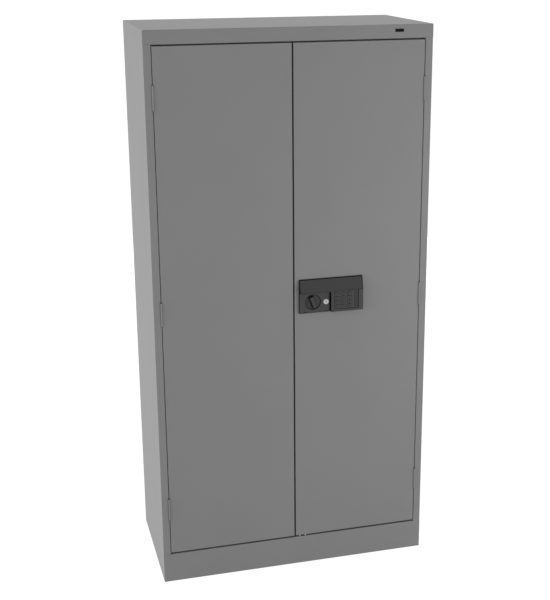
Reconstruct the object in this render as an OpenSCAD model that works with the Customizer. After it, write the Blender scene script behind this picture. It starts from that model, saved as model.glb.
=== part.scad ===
// Two-door steel storage cabinet with an electronic keypad lock on the right door.
// Millimetres, +Z up. The origin is on the floor at the centre of the case's footprint.
// +X is to the right of someone who faces the doors, and the doors face -Y.
// The doors are shut and the lock is open: its rods and bolt are drawn in.

/* [Case] */
// Width of the case
cabinet_w = 914.4; // [800:1:1220]
// Depth of the case
cabinet_d = 457.2; // [430:1:610]
// Height of the case
cabinet_h = 1828.8; // [1600:1:2100]
// Thickness of the sheet steel
sheet_t = 1; // [0.8:0.1:1.2]
// Width of each front post
post_w = 24; // [20:1:30]
// Height of the header strip above the doors
header_h = 43; // [35:1:60]
// Height of the kick plate below the doors
base_h = 101.6; // [80:1:150]
// Width of the lips that join one sheet to the next
lip_w = 15; // [10:1:20]
// Height of the rails round the foot of the case
rail_h = 25; // [20:1:40]
// Side length of the gussets in the foot's corners
gusset_size = 70; // [55:1:90]
// Thickness of the gussets
gusset_t = 3; // [2:0.5:5]
// Distance of the anchor holes from the case's outer faces
anchor_inset = 35; // [27:1:42]
// Diameter of the anchor holes
anchor_d = 11; // [7:0.5:13]
// Width of the badge on the header
badge_w = 28.5; // [20:0.5:60]
// Height of the badge
badge_h = 9.8; // [6:0.1:20]
// Distance of the badge's left edge from the case's right side
badge_in = 126.5; // [80:0.5:200]
// Depth of the badge's middle below the case's top
badge_down = 18.1; // [14:0.1:26]

/* [Doors] */
// Depth of each door pan
door_depth = 20; // [18:0.5:26]
// Gap between a door and its post
side_gap = 2; // [1.9:0.1:3]
// Gap between the doors and the header
top_gap = 4.6; // [3:0.1:6]
// Gap between the doors and the kick plate
bottom_gap = 5.6; // [4.5:0.1:7]
// Gap between the two doors
centre_gap = 5; // [3:0.1:6]
// Width of the door pan's folded back rim
door_rim = 15; // [9:0.5:15]
// How far the stop flanges reach behind the doors
stop_overlap = 9; // [7:0.5:13]
// Thickness of the rubber bumpers on the stop flanges
bumper_t = 2.7; // [2:0.1:4]
// Distance of the inner bumpers from the middle of the cabinet
bumper_in = 120; // [60:1:180]
// Distance of the outer bumpers from the doors' hinged edges
bumper_out = 60; // [40:1:120]
// Distance of each door's stiffener from the middle of the cabinet
stiffener_x = 330; // [270:1:360]
// Width of the stiffener across its brims
stiffener_w = 60; // [50:1:80]
// Depth of the stiffener
stiffener_d = 15; // [10:0.5:16]
// Width of each brim of the stiffener
brim_w = 12; // [8:1:15]

/* [Hinges] */
// Length of each hinge
hinge_len = 78; // [60:1:90]
// Height of the lower hinge's middle above the doors' lower edge
hinge_low = 161; // [120:1:200]
// Depth of the upper hinge's middle below the doors' upper edge
hinge_high = 153; // [120:1:200]
// Distance of the hinge pin in front of the doors' face
hinge_out = 1; // [0.5:0.1:2]
// Outer diameter of the hinge knuckles
knuckle_d = 6; // [5.5:0.1:7]
// Diameter of the hinge pins
hinge_pin_d = 3; // [2:0.1:3.4]
// Thickness of the hinge leaves
leaf_t = 0.8; // [0.6:0.05:0.85]
// Width of the hinge leaves
leaf_w = 16; // [12:0.5:17]

/* [Shelves] */
// Depth of the shelves
shelf_d = 398; // [360:1:400]
// Height of the shelves' edges
shelf_edge_h = 30; // [25:1:40]
// Height steps between the lowest shelf and the next ones, in slots
shelf_slots = [6, 13, 19, 26]; // [1:1:28]
// Spacing of the slots in the uprights
slot_pitch = 50.8; // [45:0.1:55]
// Height of the lowest slot above the bottom shelf
slot_first = 25.4; // [20:0.1:30]
// Height of each slot
slot_h = 13; // [11:0.5:16]
// Width of each slot
slot_w = 4; // [3.4:0.1:6]
// How far the uprights reach down through the bottom shelf
upright_foot = 12; // [5:0.5:20]
// Width of the slotted uprights
upright_w = 25; // [20:1:30]
// Depth of the slotted uprights
upright_d = 12; // [9:0.5:15]
// Distance of the front uprights from the front of the case
front_upright_in = 90; // [80:1:120]
// Distance of the rear uprights from the back of the case
rear_upright_in = 60; // [40:1:90]

/* [Lock unit] */
// Distance of the lock housing from the middle of the cabinet
lock_x = 15; // [12:1:30]
// Height of the housing's lower edge above the floor
lock_z = 914; // [880:1:950]
// Width of the housing
lock_w = 216; // [208:1:240]
// Height of the housing
lock_h = 113.5; // [105:0.5:135]
// Wall of the housing
lock_wall = 2.5; // [2:0.1:3]
// How far the housing's upper edge stands in front of the door
lock_top_out = 4; // [3:0.5:6]
// How far the hood's lip and the keypad stand in front of the door
keypad_out = 16; // [14:0.5:22]
// How far the knob's side stands in front of the door
panel_out = 8; // [6.5:0.5:10]
// Height of the flat front below the hood
front_h = 70.6; // [69:0.1:82]
// Height of the lip along the hood's lower edge
lip_h = 2.6; // [2:0.1:3]
// Width of the knob's side of the housing
panel_w = 104.5; // [102:0.5:111]
// Width of the groove between the knob's side and the keypad
groove_w = 4.7; // [2:0.1:9]
// Distances of the two pry notches from the housing's left edge
notch_x_in = [18.5, 89]; // [14:0.5:98]
// Width of each pry notch
notch_w = 5; // [3:0.5:8]
// Height of each pry notch
notch_h = 3; // [2:0.5:5]

/* [Knob and key] */
// Distance of the knob's axis from the housing's left edge
knob_x_in = 47; // [45:0.5:50]
// Height of the knob's axis above the housing's lower edge
knob_z_in = 37; // [34:0.5:37.5]
// Diameter of the knob's round base
knob_d = 49; // [46:0.1:50]
// Thickness of the knob's round base
knob_base_t = 1.5; // [1.2:0.1:3]
// Diameter of the dish that the base turns in
dish_d = 51; // [50.6:0.1:53]
// Depth of the dish in the housing behind the knob plate
dish_deep = 1.2; // [0.8:0.1:1.4]
// How far the knob's grip stands in front of the door
knob_out = 16; // [14:0.5:24]
// Length of the grip across the knob
grip_d = 44; // [36:0.5:45]
// Width of the grip
grip_w = 18; // [12:0.1:22]
// Lean of the grip at rest
grip_lean = 22; // [0:0.1:30]
// Turn of the knob from open to locked
knob_turn = 90; // [75:5:95]
// Diameter of the spindle
spindle_d = 8; // [6:0.5:9]
// Distance of the key cylinder from the knob's axis
key_x_in = 44.3; // [40:0.1:45.5]
// Depth of the key cylinder's axis below the knob's
key_drop = 2; // [0:0.5:4]
// Diameter of the key cylinder's flange
key_flange_d = 18; // [16:0.5:20]
// Diameter of the key plug
key_plug_d = 12; // [10:0.5:13]

/* [Rods and bolt] */
// Diameter of the lock rods
rod_d = 8; // [6:0.5:9]
// Distance of the rods' axis behind the doors' face
rod_in = 10; // [9.8:0.1:12]
// Travel of the rods and the centre bolt
rod_travel = 14; // [9:0.5:16]
// Radius of the cam's driving pins at rest
cam_pin_r = 12; // [10:0.5:14]
// Diameter of the driving pins
drive_pin_d = 5; // [3:0.5:6]
// Width of the cam's rim outside its slots
cam_rim = 2.2; // [1.5:0.1:4]
// Thickness of the cam
cam_t = 3; // [2:0.1:3.3]
// Height of the centre bolt
bolt_h = 9; // [6:0.5:12]
// Thickness of the centre bolt and the rods' cranks
bolt_t = 3; // [2:0.1:4]

/* [Keypad] */
// Width of the keypad's bezel
bezel_w = 83.4; // [76:0.1:90]
// Distance of the bezel from the groove
bezel_side = 6.4; // [4:0.1:12]
// Height of the bezel's lower edge above the housing's
bezel_low = 9.2; // [8:0.1:12]
// Distance of the first column of keys from the bezel's left edge
key_side = 10; // [9:0.1:14]
// Spacing of the keys across
key_pitch_x = 21.6; // [18:0.1:24]
// Spacing of the keys up
key_pitch_z = 14.2; // [12:0.1:15.5]
// Width of each key
key_w = 15; // [10:0.5:17]
// Height of each key
key_h = 9.2; // [6:0.1:11]
// Travel of each key
key_travel = 1.5; // [1:0.1:2]
// Width of the indicator strip
strip_w = 10.4; // [3.5:0.1:11]
// Distance of the indicator strip from the bezel's right edge
strip_side = 2; // [1.5:0.1:5]

/* [Hidden] */
$fn = 48;

// clearances
slide_gap = 0.3;    // round a part that slides
turn_gap = 0.05;    // round a part that turns in its bearing
knuckle_gap = 0.4;  // round a hinge knuckle
eps = 0.01;         // lets cuts run past a face

// places in the case
half_w = cabinet_w / 2;
inner_x = half_w - sheet_t;
post_x = half_w - post_w;
front_y = -cabinet_d / 2;
back_y = cabinet_d / 2;
case_top = cabinet_h - sheet_t;
header_z = cabinet_h - header_h;
function behind(d) = front_y + d;
function proud(d) = front_y - d;

// the doors, as the right one lies
door_x0 = centre_gap / 2;
door_x1 = post_x - side_gap;
door_z0 = base_h + bottom_gap;
door_z1 = header_z - top_gap;
stop_y = behind(door_depth + slide_gap + bumper_t);
fold_y = stop_y + sheet_t;

// hinges
axis_x = post_x - side_gap / 2;
axis_y = proud(hinge_out);
knuckle_r = knuckle_d / 2;
hinge_notch = knuckle_r + 0.6;
hinge_end = 2;
knuckles = 5;
hinge_z = [
  door_z0 + hinge_low,
  (door_z0 + hinge_low + door_z1 - hinge_high) / 2,
  door_z1 - hinge_high
];

// shelves and uprights
upright_t = 1.5;
upright_x = inner_x - upright_d;
upright_y = [behind(front_upright_in), back_y - rear_upright_in];
upright_top = case_top - sheet_t;
clip_t = 1.5;
shelf_x = upright_x - clip_t - slide_gap;
shelf_y1 = back_y - 2 * sheet_t - 5;
shelf_y0 = shelf_y1 - shelf_d;
clip_z = [for (slot = shelf_slots) base_h + slot_first + slot * slot_pitch];

// lock unit
lock_x1 = lock_x + lock_w;
lock_z1 = lock_z + lock_h;
front_z1 = lock_z + front_h;
lip_z = front_z1 - lip_h;
panel_x1 = lock_x + panel_w;
module_x0 = panel_x1 + groove_w;
knob_x = lock_x + knob_x_in;
knob_z = lock_z + knob_z_in;
key_x = knob_x + key_x_in;
key_z = knob_z - key_drop;
key_body_r = key_flange_d / 2 - 1;
spindle_r = spindle_d / 2;
plate_t = 2.5;
knob_floor = panel_out - plate_t;
base_in = knob_floor - dish_deep + slide_gap;
spindle_out = panel_out + 2;
module_floor = keypad_out - 8;
hood_fall = keypad_out - lock_top_out;
hood_rise = lock_z1 - front_z1;
hood_len = norm([hood_fall, hood_rise]);
hood_lean = -atan2(hood_fall, hood_rise);
hood_margin = 2.5;
hood_foot = 1.2;
hood_plate_t = 1.2;

// rods, bolt and cam
rod_r = rod_d / 2;
rod_y = behind(rod_in);
crank_in = rod_in - 0.5;
cam_gap = 0.5;      // between the cam and what moves beside it
cam_in = crank_in - cam_gap - cam_t;
drive_r = drive_pin_d / 2;
slot_half = drive_r + slide_gap;
cam_r = cam_pin_r + rod_travel + slot_half + cam_rim;
rod_x = knob_x - cam_r - cam_gap - rod_r;
rod_stand = 0.5;
backplate_t = 1.5;
plate_y = behind(sheet_t + backplate_t);
plate_margin = 5;
cover_in = 36;
plunger_d = 5;
plunger_travel = 6;
plunger_up = 22;
plunger_z = knob_z + plunger_up;
plunger_x = knob_x + sqrt(pow(cam_r, 2) - pow(plunger_up - plunger_d / 2, 2)) + 0.9;

// cells
cell_d = 14.4;
cell_len = 50.5;
cell_pitch = 14.7;
cells_w = 4 * cell_pitch + 0.3;
tray_t = 1.5;
tray_x0 = lock_x1 - plate_margin - cells_w - 2 * tray_t;
tray_z0 = lock_z + 20;

// keypad
bezel_x0 = module_x0 + bezel_side;
bezel_x1 = bezel_x0 + bezel_w;
bezel_z0 = lock_z + bezel_low;
bezel_z1 = front_z1;
bezel_out = keypad_out - 0.6;
bezel_t = 1.9;
key_x0 = bezel_x0 + key_side;
key_z0 = (bezel_z0 + bezel_z1 - 3 * key_pitch_z) / 2;
key_gap = 0.4;
key_out = keypad_out + 0.6;
flange_t = 1.2;
strip_x0 = bezel_x1 - strip_side - strip_w;
strip_end = 4;
board_t = 1.6;
board_in = 3.4;
cable_at = [module_x0 + 44, lock_z + 40];
post_r = 4;
screw_r = 2;
screw_head_r = 3.5;
screw_head_t = 2;
screw_reach = 3.5;
screw_in = 9;
screw_down = 10.5;
lock_screws = [
  for (x = [lock_x + screw_in, lock_x1 - screw_in], z = [lock_z + screw_in, lock_z1 - screw_down])
    [x, z]
];

// colours
paint = "#808080";
shelf_paint = "#858585";
zinc = "#b9bcc0";
dark_steel = "#3c3e40";
black_plastic = "#2a2a2c";
charcoal = "#47484a";
rubber_black = "#1e1e1f";
white_plastic = "#d9d9d4";

// ---------------------------------------------------------------- shared shapes

// a box from its low corner to its high corner
module block(low, high) {
  translate(low) cube(high - low);
}

// a round bar along X, Y or Z from a point
module bar_x(at, length, r) { translate(at) rotate([0, 90, 0]) cylinder(h = length, r = r); }
module bar_y(at, length, r) { translate(at) rotate([-90, 0, 0]) cylinder(h = length, r = r); }
module bar_z(at, length, r) { translate(at) cylinder(h = length, r = r); }

// a flat outline in X and Z, given depth from y0 back to y1
module upright_plate(y0, y1) {
  translate([0, y1, 0]) rotate([90, 0, 0]) linear_extrude(y1 - y0) children();
}

// a rectangle with round corners
module rounded(x0, z0, x1, z1, r) {
  translate([x0 + r, z0]) square([x1 - x0 - 2 * r, z1 - z0]);
  translate([x0, z0 + r]) square([x1 - x0, z1 - z0 - 2 * r]);
  for (x = [x0 + r, x1 - r], z = [z0 + r, z1 - r]) translate([x, z]) circle(r);
}

// a section in Y and Z, run along X
module section_x(x0, x1, points) {
  translate([x0, 0, 0]) rotate([90, 0, 90]) linear_extrude(x1 - x0) polygon(points);
}

module both_sides() {
  children();
  mirror([1, 0, 0]) children();
}

module front_and_back() {
  children();
  mirror([0, 1, 0]) children();
}

// ---------------------------------------------------------------- case

// clears the knuckles where the hinges sit in the bend of a post or door
module hinge_notches() {
  for (z = hinge_z)
    block([axis_x - hinge_notch, front_y - 5, z - hinge_len / 2 - hinge_end],
          [axis_x + hinge_notch, axis_y + hinge_notch, z + hinge_len / 2 + hinge_end]);
}

// a slot that the keypad's cable goes through
module cable_way(y0, y1, half_w, half_h) {
  block([cable_at[0] - half_w, y0, cable_at[1] - half_h],
        [cable_at[0] + half_w, y1, cable_at[1] + half_h]);
}

// the right panel: side sheet, front post, rear lip and top lip
module side_panel() {
  block([inner_x, front_y + sheet_t, 0], [half_w, back_y, case_top]);
  difference() {
    union() {
      block([post_x, front_y, base_h], [half_w, front_y + sheet_t, header_z]);
      block([post_x, front_y, base_h], [post_x + sheet_t, fold_y, header_z]);
    }
    hinge_notches();
  }
  block([inner_x - lip_w, back_y - 2 * sheet_t, rail_h],
        [inner_x, back_y - sheet_t, case_top]);
  block([inner_x - lip_w, fold_y, case_top - sheet_t],
        [inner_x, back_y - sheet_t, case_top]);
}

module right_side_panel() { color(paint) side_panel(); }
module left_side_panel() { color(paint) mirror([1, 0, 0]) side_panel(); }

module back_panel() {
  color(paint)
    block([-inner_x, back_y - sheet_t, sheet_t], [inner_x, back_y, case_top]);
}

// the top, folded down into the header and back under it to the stop flange
module top_panel() {
  color(paint) difference() {
    union() {
      block([-half_w, front_y, case_top], [half_w, back_y, cabinet_h]);
      block([-half_w, front_y, header_z], [half_w, front_y + sheet_t, cabinet_h]);
      block([-inner_x, front_y, header_z], [inner_x, fold_y, header_z + sheet_t]);
      block([-post_x, stop_y, header_z - top_gap - stop_overlap],
            [post_x, fold_y, header_z + sheet_t]);
    }
    bar_z([rod_x, rod_y, header_z - eps], sheet_t + 2 * eps, rod_r + 1);
  }
}

// the kick plate, its stop flange and the rails round the foot
module base_frame() {
  color(paint) difference() {
    union() {
      block([-half_w, front_y, 0], [half_w, front_y + sheet_t, base_h]);
      block([-inner_x, front_y, base_h - sheet_t], [inner_x, fold_y, base_h]);
      block([-post_x, stop_y, base_h - sheet_t],
            [post_x, fold_y, base_h + bottom_gap + stop_overlap]);
      difference() {
        block([-inner_x, front_y, 0], [inner_x, back_y - sheet_t, rail_h]);
        block([-inner_x + sheet_t, front_y + sheet_t, sheet_t],
              [inner_x - sheet_t, back_y - 2 * sheet_t, rail_h + 1]);
        block([-inner_x + lip_w, front_y + lip_w, -1],
              [inner_x - lip_w, back_y - sheet_t - lip_w, rail_h + 1]);
      }
      block([-inner_x, back_y - sheet_t, 0], [inner_x, back_y, sheet_t]);
    }
    bar_z([rod_x, rod_y, base_h - sheet_t - eps], sheet_t + 2 * eps, rod_r + 1);
  }
}

// the raised floor, notched where the uprights stand through it
module bottom_shelf() {
  notch = upright_w / 2 + slide_gap;
  color(shelf_paint) difference() {
    block([-inner_x, fold_y, base_h - shelf_edge_h],
          [inner_x, back_y - 2 * sheet_t, base_h]);
    block([-inner_x + sheet_t, fold_y + sheet_t, base_h - shelf_edge_h - 1],
          [inner_x - sheet_t, back_y - 3 * sheet_t, base_h - sheet_t]);
    both_sides() for (y = upright_y)
      block([upright_x - slide_gap, y - notch, base_h - upright_foot - slide_gap],
            [inner_x + 1, y + notch, base_h + 1]);
  }
}

module corner_gussets() {
  tip = 12;
  color(paint) both_sides() front_and_back() difference() {
    translate([inner_x - sheet_t, back_y - 2 * sheet_t, sheet_t])
      rotate([0, 0, 180]) linear_extrude(gusset_t)
        polygon([[0, 0], [gusset_size, 0], [gusset_size, tip],
                 [tip, gusset_size], [0, gusset_size]]);
    bar_z([half_w - anchor_inset, back_y - anchor_inset, 0],
          gusset_t + 2 * sheet_t, anchor_d / 2);
  }
}

// one slotted channel on the right side, with its flanges against the side sheet
module upright(y) {
  foot_z = base_h - upright_foot;
  difference() {
    block([upright_x, y - upright_w / 2, foot_z], [inner_x, y + upright_w / 2, upright_top]);
    block([upright_x + upright_t, y - upright_w / 2 + upright_t, foot_z - 1],
          [inner_x + 1, y + upright_w / 2 - upright_t, upright_top + 1]);
    for (z = [base_h + slot_first : slot_pitch : upright_top - slot_h])
      block([upright_x - 1, y - slot_w / 2, z - slot_h / 2],
            [upright_x + upright_t + 1, y + slot_w / 2, z + slot_h / 2]);
  }
}

module slotted_uprights() {
  color(zinc) both_sides() for (y = upright_y) upright(y);
}

// a clip hooked into a slot, with the ledge that carries the shelf's corner
module shelf_clip(y, z) {
  clip_w = 14;
  ledge = 10;
  hook = 3;
  block([upright_x - clip_t, y - clip_w / 2, z - slot_h / 2 - 3],
        [upright_x, y + clip_w / 2, z + slot_h / 2 + 3]);
  block([upright_x - clip_t - ledge, y - clip_w / 2, z - clip_t],
        [upright_x - clip_t, y + clip_w / 2, z]);
  block([upright_x - clip_t, y - slot_w / 2 + slide_gap, z - slot_h / 2 + slide_gap],
        [upright_x + hook, y + slot_w / 2 - slide_gap, z + slot_h / 2 - slide_gap]);
}

module shelf_clips() {
  color(zinc) both_sides() for (y = upright_y, z = clip_z) shelf_clip(y, z);
}

// a pan with its edges turned down and in
module shelf(level) {
  z0 = clip_z[level - 1];
  z1 = z0 + shelf_edge_h;
  rim = 12;
  color(shelf_paint) difference() {
    block([-shelf_x, shelf_y0, z0], [shelf_x, shelf_y1, z1]);
    block([-shelf_x + sheet_t, shelf_y0 + sheet_t, z0 + sheet_t],
          [shelf_x - sheet_t, shelf_y1 - sheet_t, z1 - sheet_t]);
    block([-shelf_x + rim, shelf_y0 + rim, z0 - 1],
          [shelf_x - rim, shelf_y1 - rim, z0 + sheet_t + 1]);
  }
}

module shelf_1() { shelf(1); }
module shelf_2() { shelf(2); }
module shelf_3() { shelf(3); }
module shelf_4() { shelf(4); }

// soft discs on the stop flanges, behind the doors' upper and lower edges
module door_bumpers() {
  bumper_r = stop_overlap / 2 - 0.5;
  color(rubber_black) both_sides()
    for (x = [bumper_in, door_x1 - bumper_out],
         z = [door_z1 - stop_overlap / 2, door_z0 + stop_overlap / 2])
      bar_y([x, stop_y - bumper_t, z], bumper_t, bumper_r);
}

// a small blank badge on the header
module nameplate() {
  x = half_w - badge_in;
  z = cabinet_h - badge_down - badge_h / 2;
  color("#161616") upright_plate(proud(1), front_y)
    rounded(x, z, x + badge_w, z + badge_h, 2);
}

// ---------------------------------------------------------------- hinges

// knuckles first, first + 2 and so on, rolled from a leaf that lies at leaf_x
module hinge_leaf(z, leaf_x, first) {
  pitch = hinge_len / knuckles;
  z0 = z - hinge_len / 2;
  leaf_y = axis_y + knuckle_r + knuckle_gap;
  difference() {
    union() {
      block([leaf_x, leaf_y, z0], [leaf_x + leaf_t, leaf_y + leaf_w, z0 + hinge_len]);
      for (k = [first : 2 : knuckles - 1]) {
        bar_z([axis_x, axis_y, z0 + k * pitch + knuckle_gap / 2],
              pitch - knuckle_gap, knuckle_r);
        block([leaf_x, axis_y + knuckle_r - 1, z0 + k * pitch + knuckle_gap / 2],
              [leaf_x + leaf_t, leaf_y + eps, z0 + (k + 1) * pitch - knuckle_gap / 2]);
      }
    }
    bar_z([axis_x, axis_y, z0 - 1], hinge_len + 2, hinge_pin_d / 2 + turn_gap);
  }
}

module hinge_frame_leaves() {
  color(paint) both_sides() for (z = hinge_z) hinge_leaf(z, post_x - leaf_t, 0);
}

module door_leaves() { for (z = hinge_z) hinge_leaf(z, door_x1, 1); }
module right_hinge_leaves() { color(paint) door_leaves(); }
module left_hinge_leaves() { color(paint) mirror([1, 0, 0]) door_leaves(); }

module hinge_pins() {
  head_t = 1.2;
  color(dark_steel) both_sides() for (z = hinge_z) {
    bar_z([axis_x, axis_y, z - hinge_len / 2 - head_t], hinge_len + 2 * head_t, hinge_pin_d / 2);
    for (end = [z - hinge_len / 2 - head_t, z + hinge_len / 2])
      bar_z([axis_x, axis_y, end], head_t, knuckle_r - 0.4);
  }
}

// ---------------------------------------------------------------- doors

// the right door's pan: face, four edges and the rim folded in behind
module door_pan() {
  difference() {
    block([door_x0, front_y, door_z0], [door_x1, behind(door_depth), door_z1]);
    block([door_x0 + sheet_t, behind(sheet_t), door_z0 + sheet_t],
          [door_x1 - sheet_t, behind(door_depth - sheet_t), door_z1 - sheet_t]);
    block([door_x0 + door_rim, behind(door_depth / 2), door_z0 + door_rim],
          [door_x1 - door_rim, behind(door_depth + 1), door_z1 - door_rim]);
    hinge_notches();
  }
}

// a slot for the centre bolt through a free edge
module bolt_slot(x0, x1) {
  block([x0 - eps, behind(crank_in - 0.5), knob_z - bolt_h / 2 - 0.5],
        [x1 + eps, behind(crank_in + bolt_t + 0.5), knob_z + bolt_h / 2 + 0.5]);
}

module left_door_skin() {
  color(paint) difference() {
    mirror([1, 0, 0]) door_pan();
    bolt_slot(-door_x0 - sheet_t, -door_x0);
  }
}

module right_door_skin() {
  color(paint) difference() {
    door_pan();
    bolt_slot(door_x0, door_x0 + sheet_t);
    for (z = [door_z0, door_z1 - sheet_t])
      bar_z([rod_x, rod_y, z - eps], sheet_t + 2 * eps, rod_r + slide_gap);
    for (side = [-1, 1]) guide_leg(side, 0.2);
    bar_y([knob_x, front_y - eps, knob_z], sheet_t + 2 * eps, spindle_r + 1);
    bar_y([key_x, front_y - eps, key_z], sheet_t + 2 * eps, key_body_r);
    for (at = lock_screws) bar_y([at[0], front_y - eps, at[1]], sheet_t + 2 * eps, screw_r);
    cable_way(proud(1), behind(sheet_t + 1), 20, 10);
  }
}

// a hat channel down the inside of a door
module stiffener() {
  x0 = stiffener_x - stiffener_w / 2;
  x1 = stiffener_x + stiffener_w / 2;
  z0 = door_z0 + 6;
  z1 = door_z1 - 6;
  y0 = behind(sheet_t);
  difference() {
    union() {
      block([x0, y0, z0], [x1, y0 + sheet_t, z1]);
      block([x0 + brim_w, y0, z0], [x1 - brim_w, y0 + stiffener_d, z1]);
    }
    block([x0 + brim_w + sheet_t, y0 - eps, z0 - 1],
          [x1 - brim_w - sheet_t, y0 + stiffener_d - sheet_t, z1 + 1]);
  }
}

module right_door_stiffener() { color(paint) stiffener(); }
module left_door_stiffener() { color(paint) mirror([1, 0, 0]) stiffener(); }

// the steel plate that takes the centre bolt, inside the left door's free edge
module left_door_strike() {
  strike_h = 60;
  color(zinc) difference() {
    block([-door_x0 - sheet_t - 2, behind(sheet_t), knob_z - strike_h / 2],
          [-door_x0 - sheet_t, behind(door_depth - sheet_t), knob_z + strike_h / 2]);
    bolt_slot(-door_x0 - sheet_t - 2, -door_x0 - sheet_t);
  }
}

// ---------------------------------------------------------------- rods and bolt

module rod_guides() {
  guide_w = 18;
  guide_h = 12;
  color(white_plastic)
    for (z = [door_z1 - 60, (door_z1 + lock_z1) / 2, (door_z0 + lock_z) / 2])
      difference() {
        block([rod_x - guide_w / 2, behind(sheet_t), z - guide_h / 2],
              [rod_x + guide_w / 2, behind(rod_in + rod_r + 2), z + guide_h / 2]);
        bar_z([rod_x, rod_y, z - guide_h], 2 * guide_h, rod_r + slide_gap);
      }
}

// one of the two legs that come through the right door's lower edge
module guide_leg(side, spare) {
  leg_x = rod_x + side * 9.7;
  block([leg_x - 1.6 - spare, behind(sheet_t + 0.5 - spare), door_z0 - 3.8 + spare],
        [leg_x + 1.6 + spare, behind(sheet_t + 6.5 + spare), door_z0 + sheet_t + spare]);
}

module lower_rod_guide() {
  guide_t = 2;
  color(zinc) difference() {
    union() {
      block([rod_x - 11.3, behind(sheet_t + 0.5), door_z0 + sheet_t],
            [rod_x + 11.3, behind(rod_in + rod_r + 2), door_z0 + sheet_t + guide_t]);
      for (side = [-1, 1]) guide_leg(side, 0);
    }
    bar_z([rod_x, rod_y, door_z0 - 10], 30, rod_r + slide_gap);
  }
}

// the flat crank that reaches from a rod to its driving pin in the cam
module crank(pin_z) {
  block([rod_x - rod_r, behind(crank_in), pin_z - 5],
        [knob_x + 5, behind(crank_in + bolt_t), pin_z + 5]);
  bar_y([knob_x, behind(cam_in - 0.5), pin_z], crank_in - cam_in + 1, drive_r);
}

module upper_rod() {
  pin_z = knob_z + cam_pin_r;
  color(dark_steel) {
    bar_z([rod_x, rod_y, pin_z - 5], door_z1 - rod_stand - pin_z + 5, rod_r);
    crank(pin_z);
  }
}

module lower_rod() {
  pin_z = knob_z - cam_pin_r;
  color(dark_steel) {
    bar_z([rod_x, rod_y, door_z0 + rod_stand], pin_z + 5 - door_z0 - rod_stand, rod_r);
    crank(pin_z);
  }
}

module centre_bolt() {
  pin_x = knob_x - cam_pin_r;
  color(zinc) {
    block([door_x0 + sheet_t, behind(crank_in), knob_z - bolt_h / 2],
          [pin_x + 5, behind(crank_in + bolt_t), knob_z + bolt_h / 2]);
    bar_y([pin_x, behind(cam_in - 0.5), knob_z], crank_in - cam_in + 1, drive_r);
  }
}

// the radius of a driving pin once the cam has turned by an angle: it rises evenly
function pin_path(angle) = cam_pin_r + rod_travel * angle / knob_turn;

// half the slot's width along the radius, wider where the path climbs steeply
function slot_reach(angle) =
  let (climb = rod_travel * 180 / (knob_turn * PI * pin_path(angle)))
  slot_half * sqrt(1 + climb * climb);

// a spiral slot that starts at an angle of the cam
module cam_slot(start) {
  step = 5;
  angles = [0 : step : knob_turn];
  back = [knob_turn : -step : 0];
  polygon(concat(
    [for (a = angles) (pin_path(a) + slot_reach(a)) * [cos(start + a), sin(start + a)]],
    [for (a = back) (pin_path(a) - slot_reach(a)) * [cos(start + a), sin(start + a)]]
  ));
  for (a = [0, knob_turn])
    rotate(start + a) translate([pin_path(a), 0]) circle(slot_half);
}

// three spiral slots drive the rods and the bolt, and two notches take the plunger
module lock_cam() {
  color(zinc)
    translate([knob_x, 0, knob_z]) upright_plate(behind(cam_in), behind(cam_in + cam_t))
      difference() {
        circle(cam_r, $fn = 96);
        circle(spindle_r);
        for (start = [90, 180, 270]) cam_slot(start);
        for (turn = [0, knob_turn])
          rotate(turn)
            translate([plunger_x - plunger_travel - knob_x - 0.5,
                       plunger_z - knob_z - plunger_d / 2 - 0.4])
              square([20, plunger_d + 0.8]);
      }
}

module spindle() {
  color(zinc)
    bar_y([knob_x, proud(spindle_out), knob_z], spindle_out + cam_in + cam_t, spindle_r);
}

// a round base sunk in its dish, with a bar across it as a grip, which leans over at rest
module knob() {
  base_out = base_in + knob_base_t;
  color(charcoal) translate([knob_x, 0, knob_z]) difference() {
    union() {
      bar_y([0, proud(base_out), 0], knob_base_t, knob_d / 2, $fn = 96);
      upright_plate(proud(knob_out), proud(base_out - eps))
        intersection() {
          circle(grip_d / 2, $fn = 96);
          rotate(grip_lean) square([grip_w, knob_d], center = true);
        }
    }
    bar_y([0, proud(spindle_out), 0], spindle_out + 1, spindle_r);
  }
}

// ---------------------------------------------------------------- lock unit

// how far the hood's slope stands in front of the door at a height
function hood_at(z) = keypad_out - (keypad_out - lock_top_out) * (z - front_z1) / (lock_z1 - front_z1);

// the housing's outline in Y and Z, from a low front that stands out by low_out
function hood_outline(low_out) = [
  [front_y, lock_z], [proud(low_out), lock_z], [proud(low_out), lip_z],
  [proud(keypad_out), lip_z], [proud(keypad_out), front_z1],
  [proud(lock_top_out), lock_z1], [front_y, lock_z1]
];

// the plate on the hood's slope, which also cuts its own recess
module hood_face() {
  translate([0, proud(keypad_out), front_z1]) rotate([hood_lean, 0, 0])
    block([lock_x + hood_margin, 0, hood_foot],
          [lock_x1 - hood_margin, hood_plate_t, hood_len - hood_margin]);
}

module lock_shell() {
  section_x(lock_x, panel_x1, hood_outline(panel_out));
  section_x(panel_x1, module_x0, hood_outline(panel_out / 2));
  section_x(module_x0, lock_x1, [
    [front_y, lock_z], [proud(keypad_out), lock_z], [proud(keypad_out), front_z1],
    [proud(lock_top_out), lock_z1], [front_y, lock_z1]
  ]);
}

// notches in the lower edge where a blade lifts the knob plate
module pry_notches() {
  for (x = notch_x_in)
    block([lock_x + x - notch_w / 2, proud(panel_out + 1), lock_z - 1],
          [lock_x + x + notch_w / 2, proud(knob_floor - 0.5), lock_z + notch_h]);
}

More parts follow.
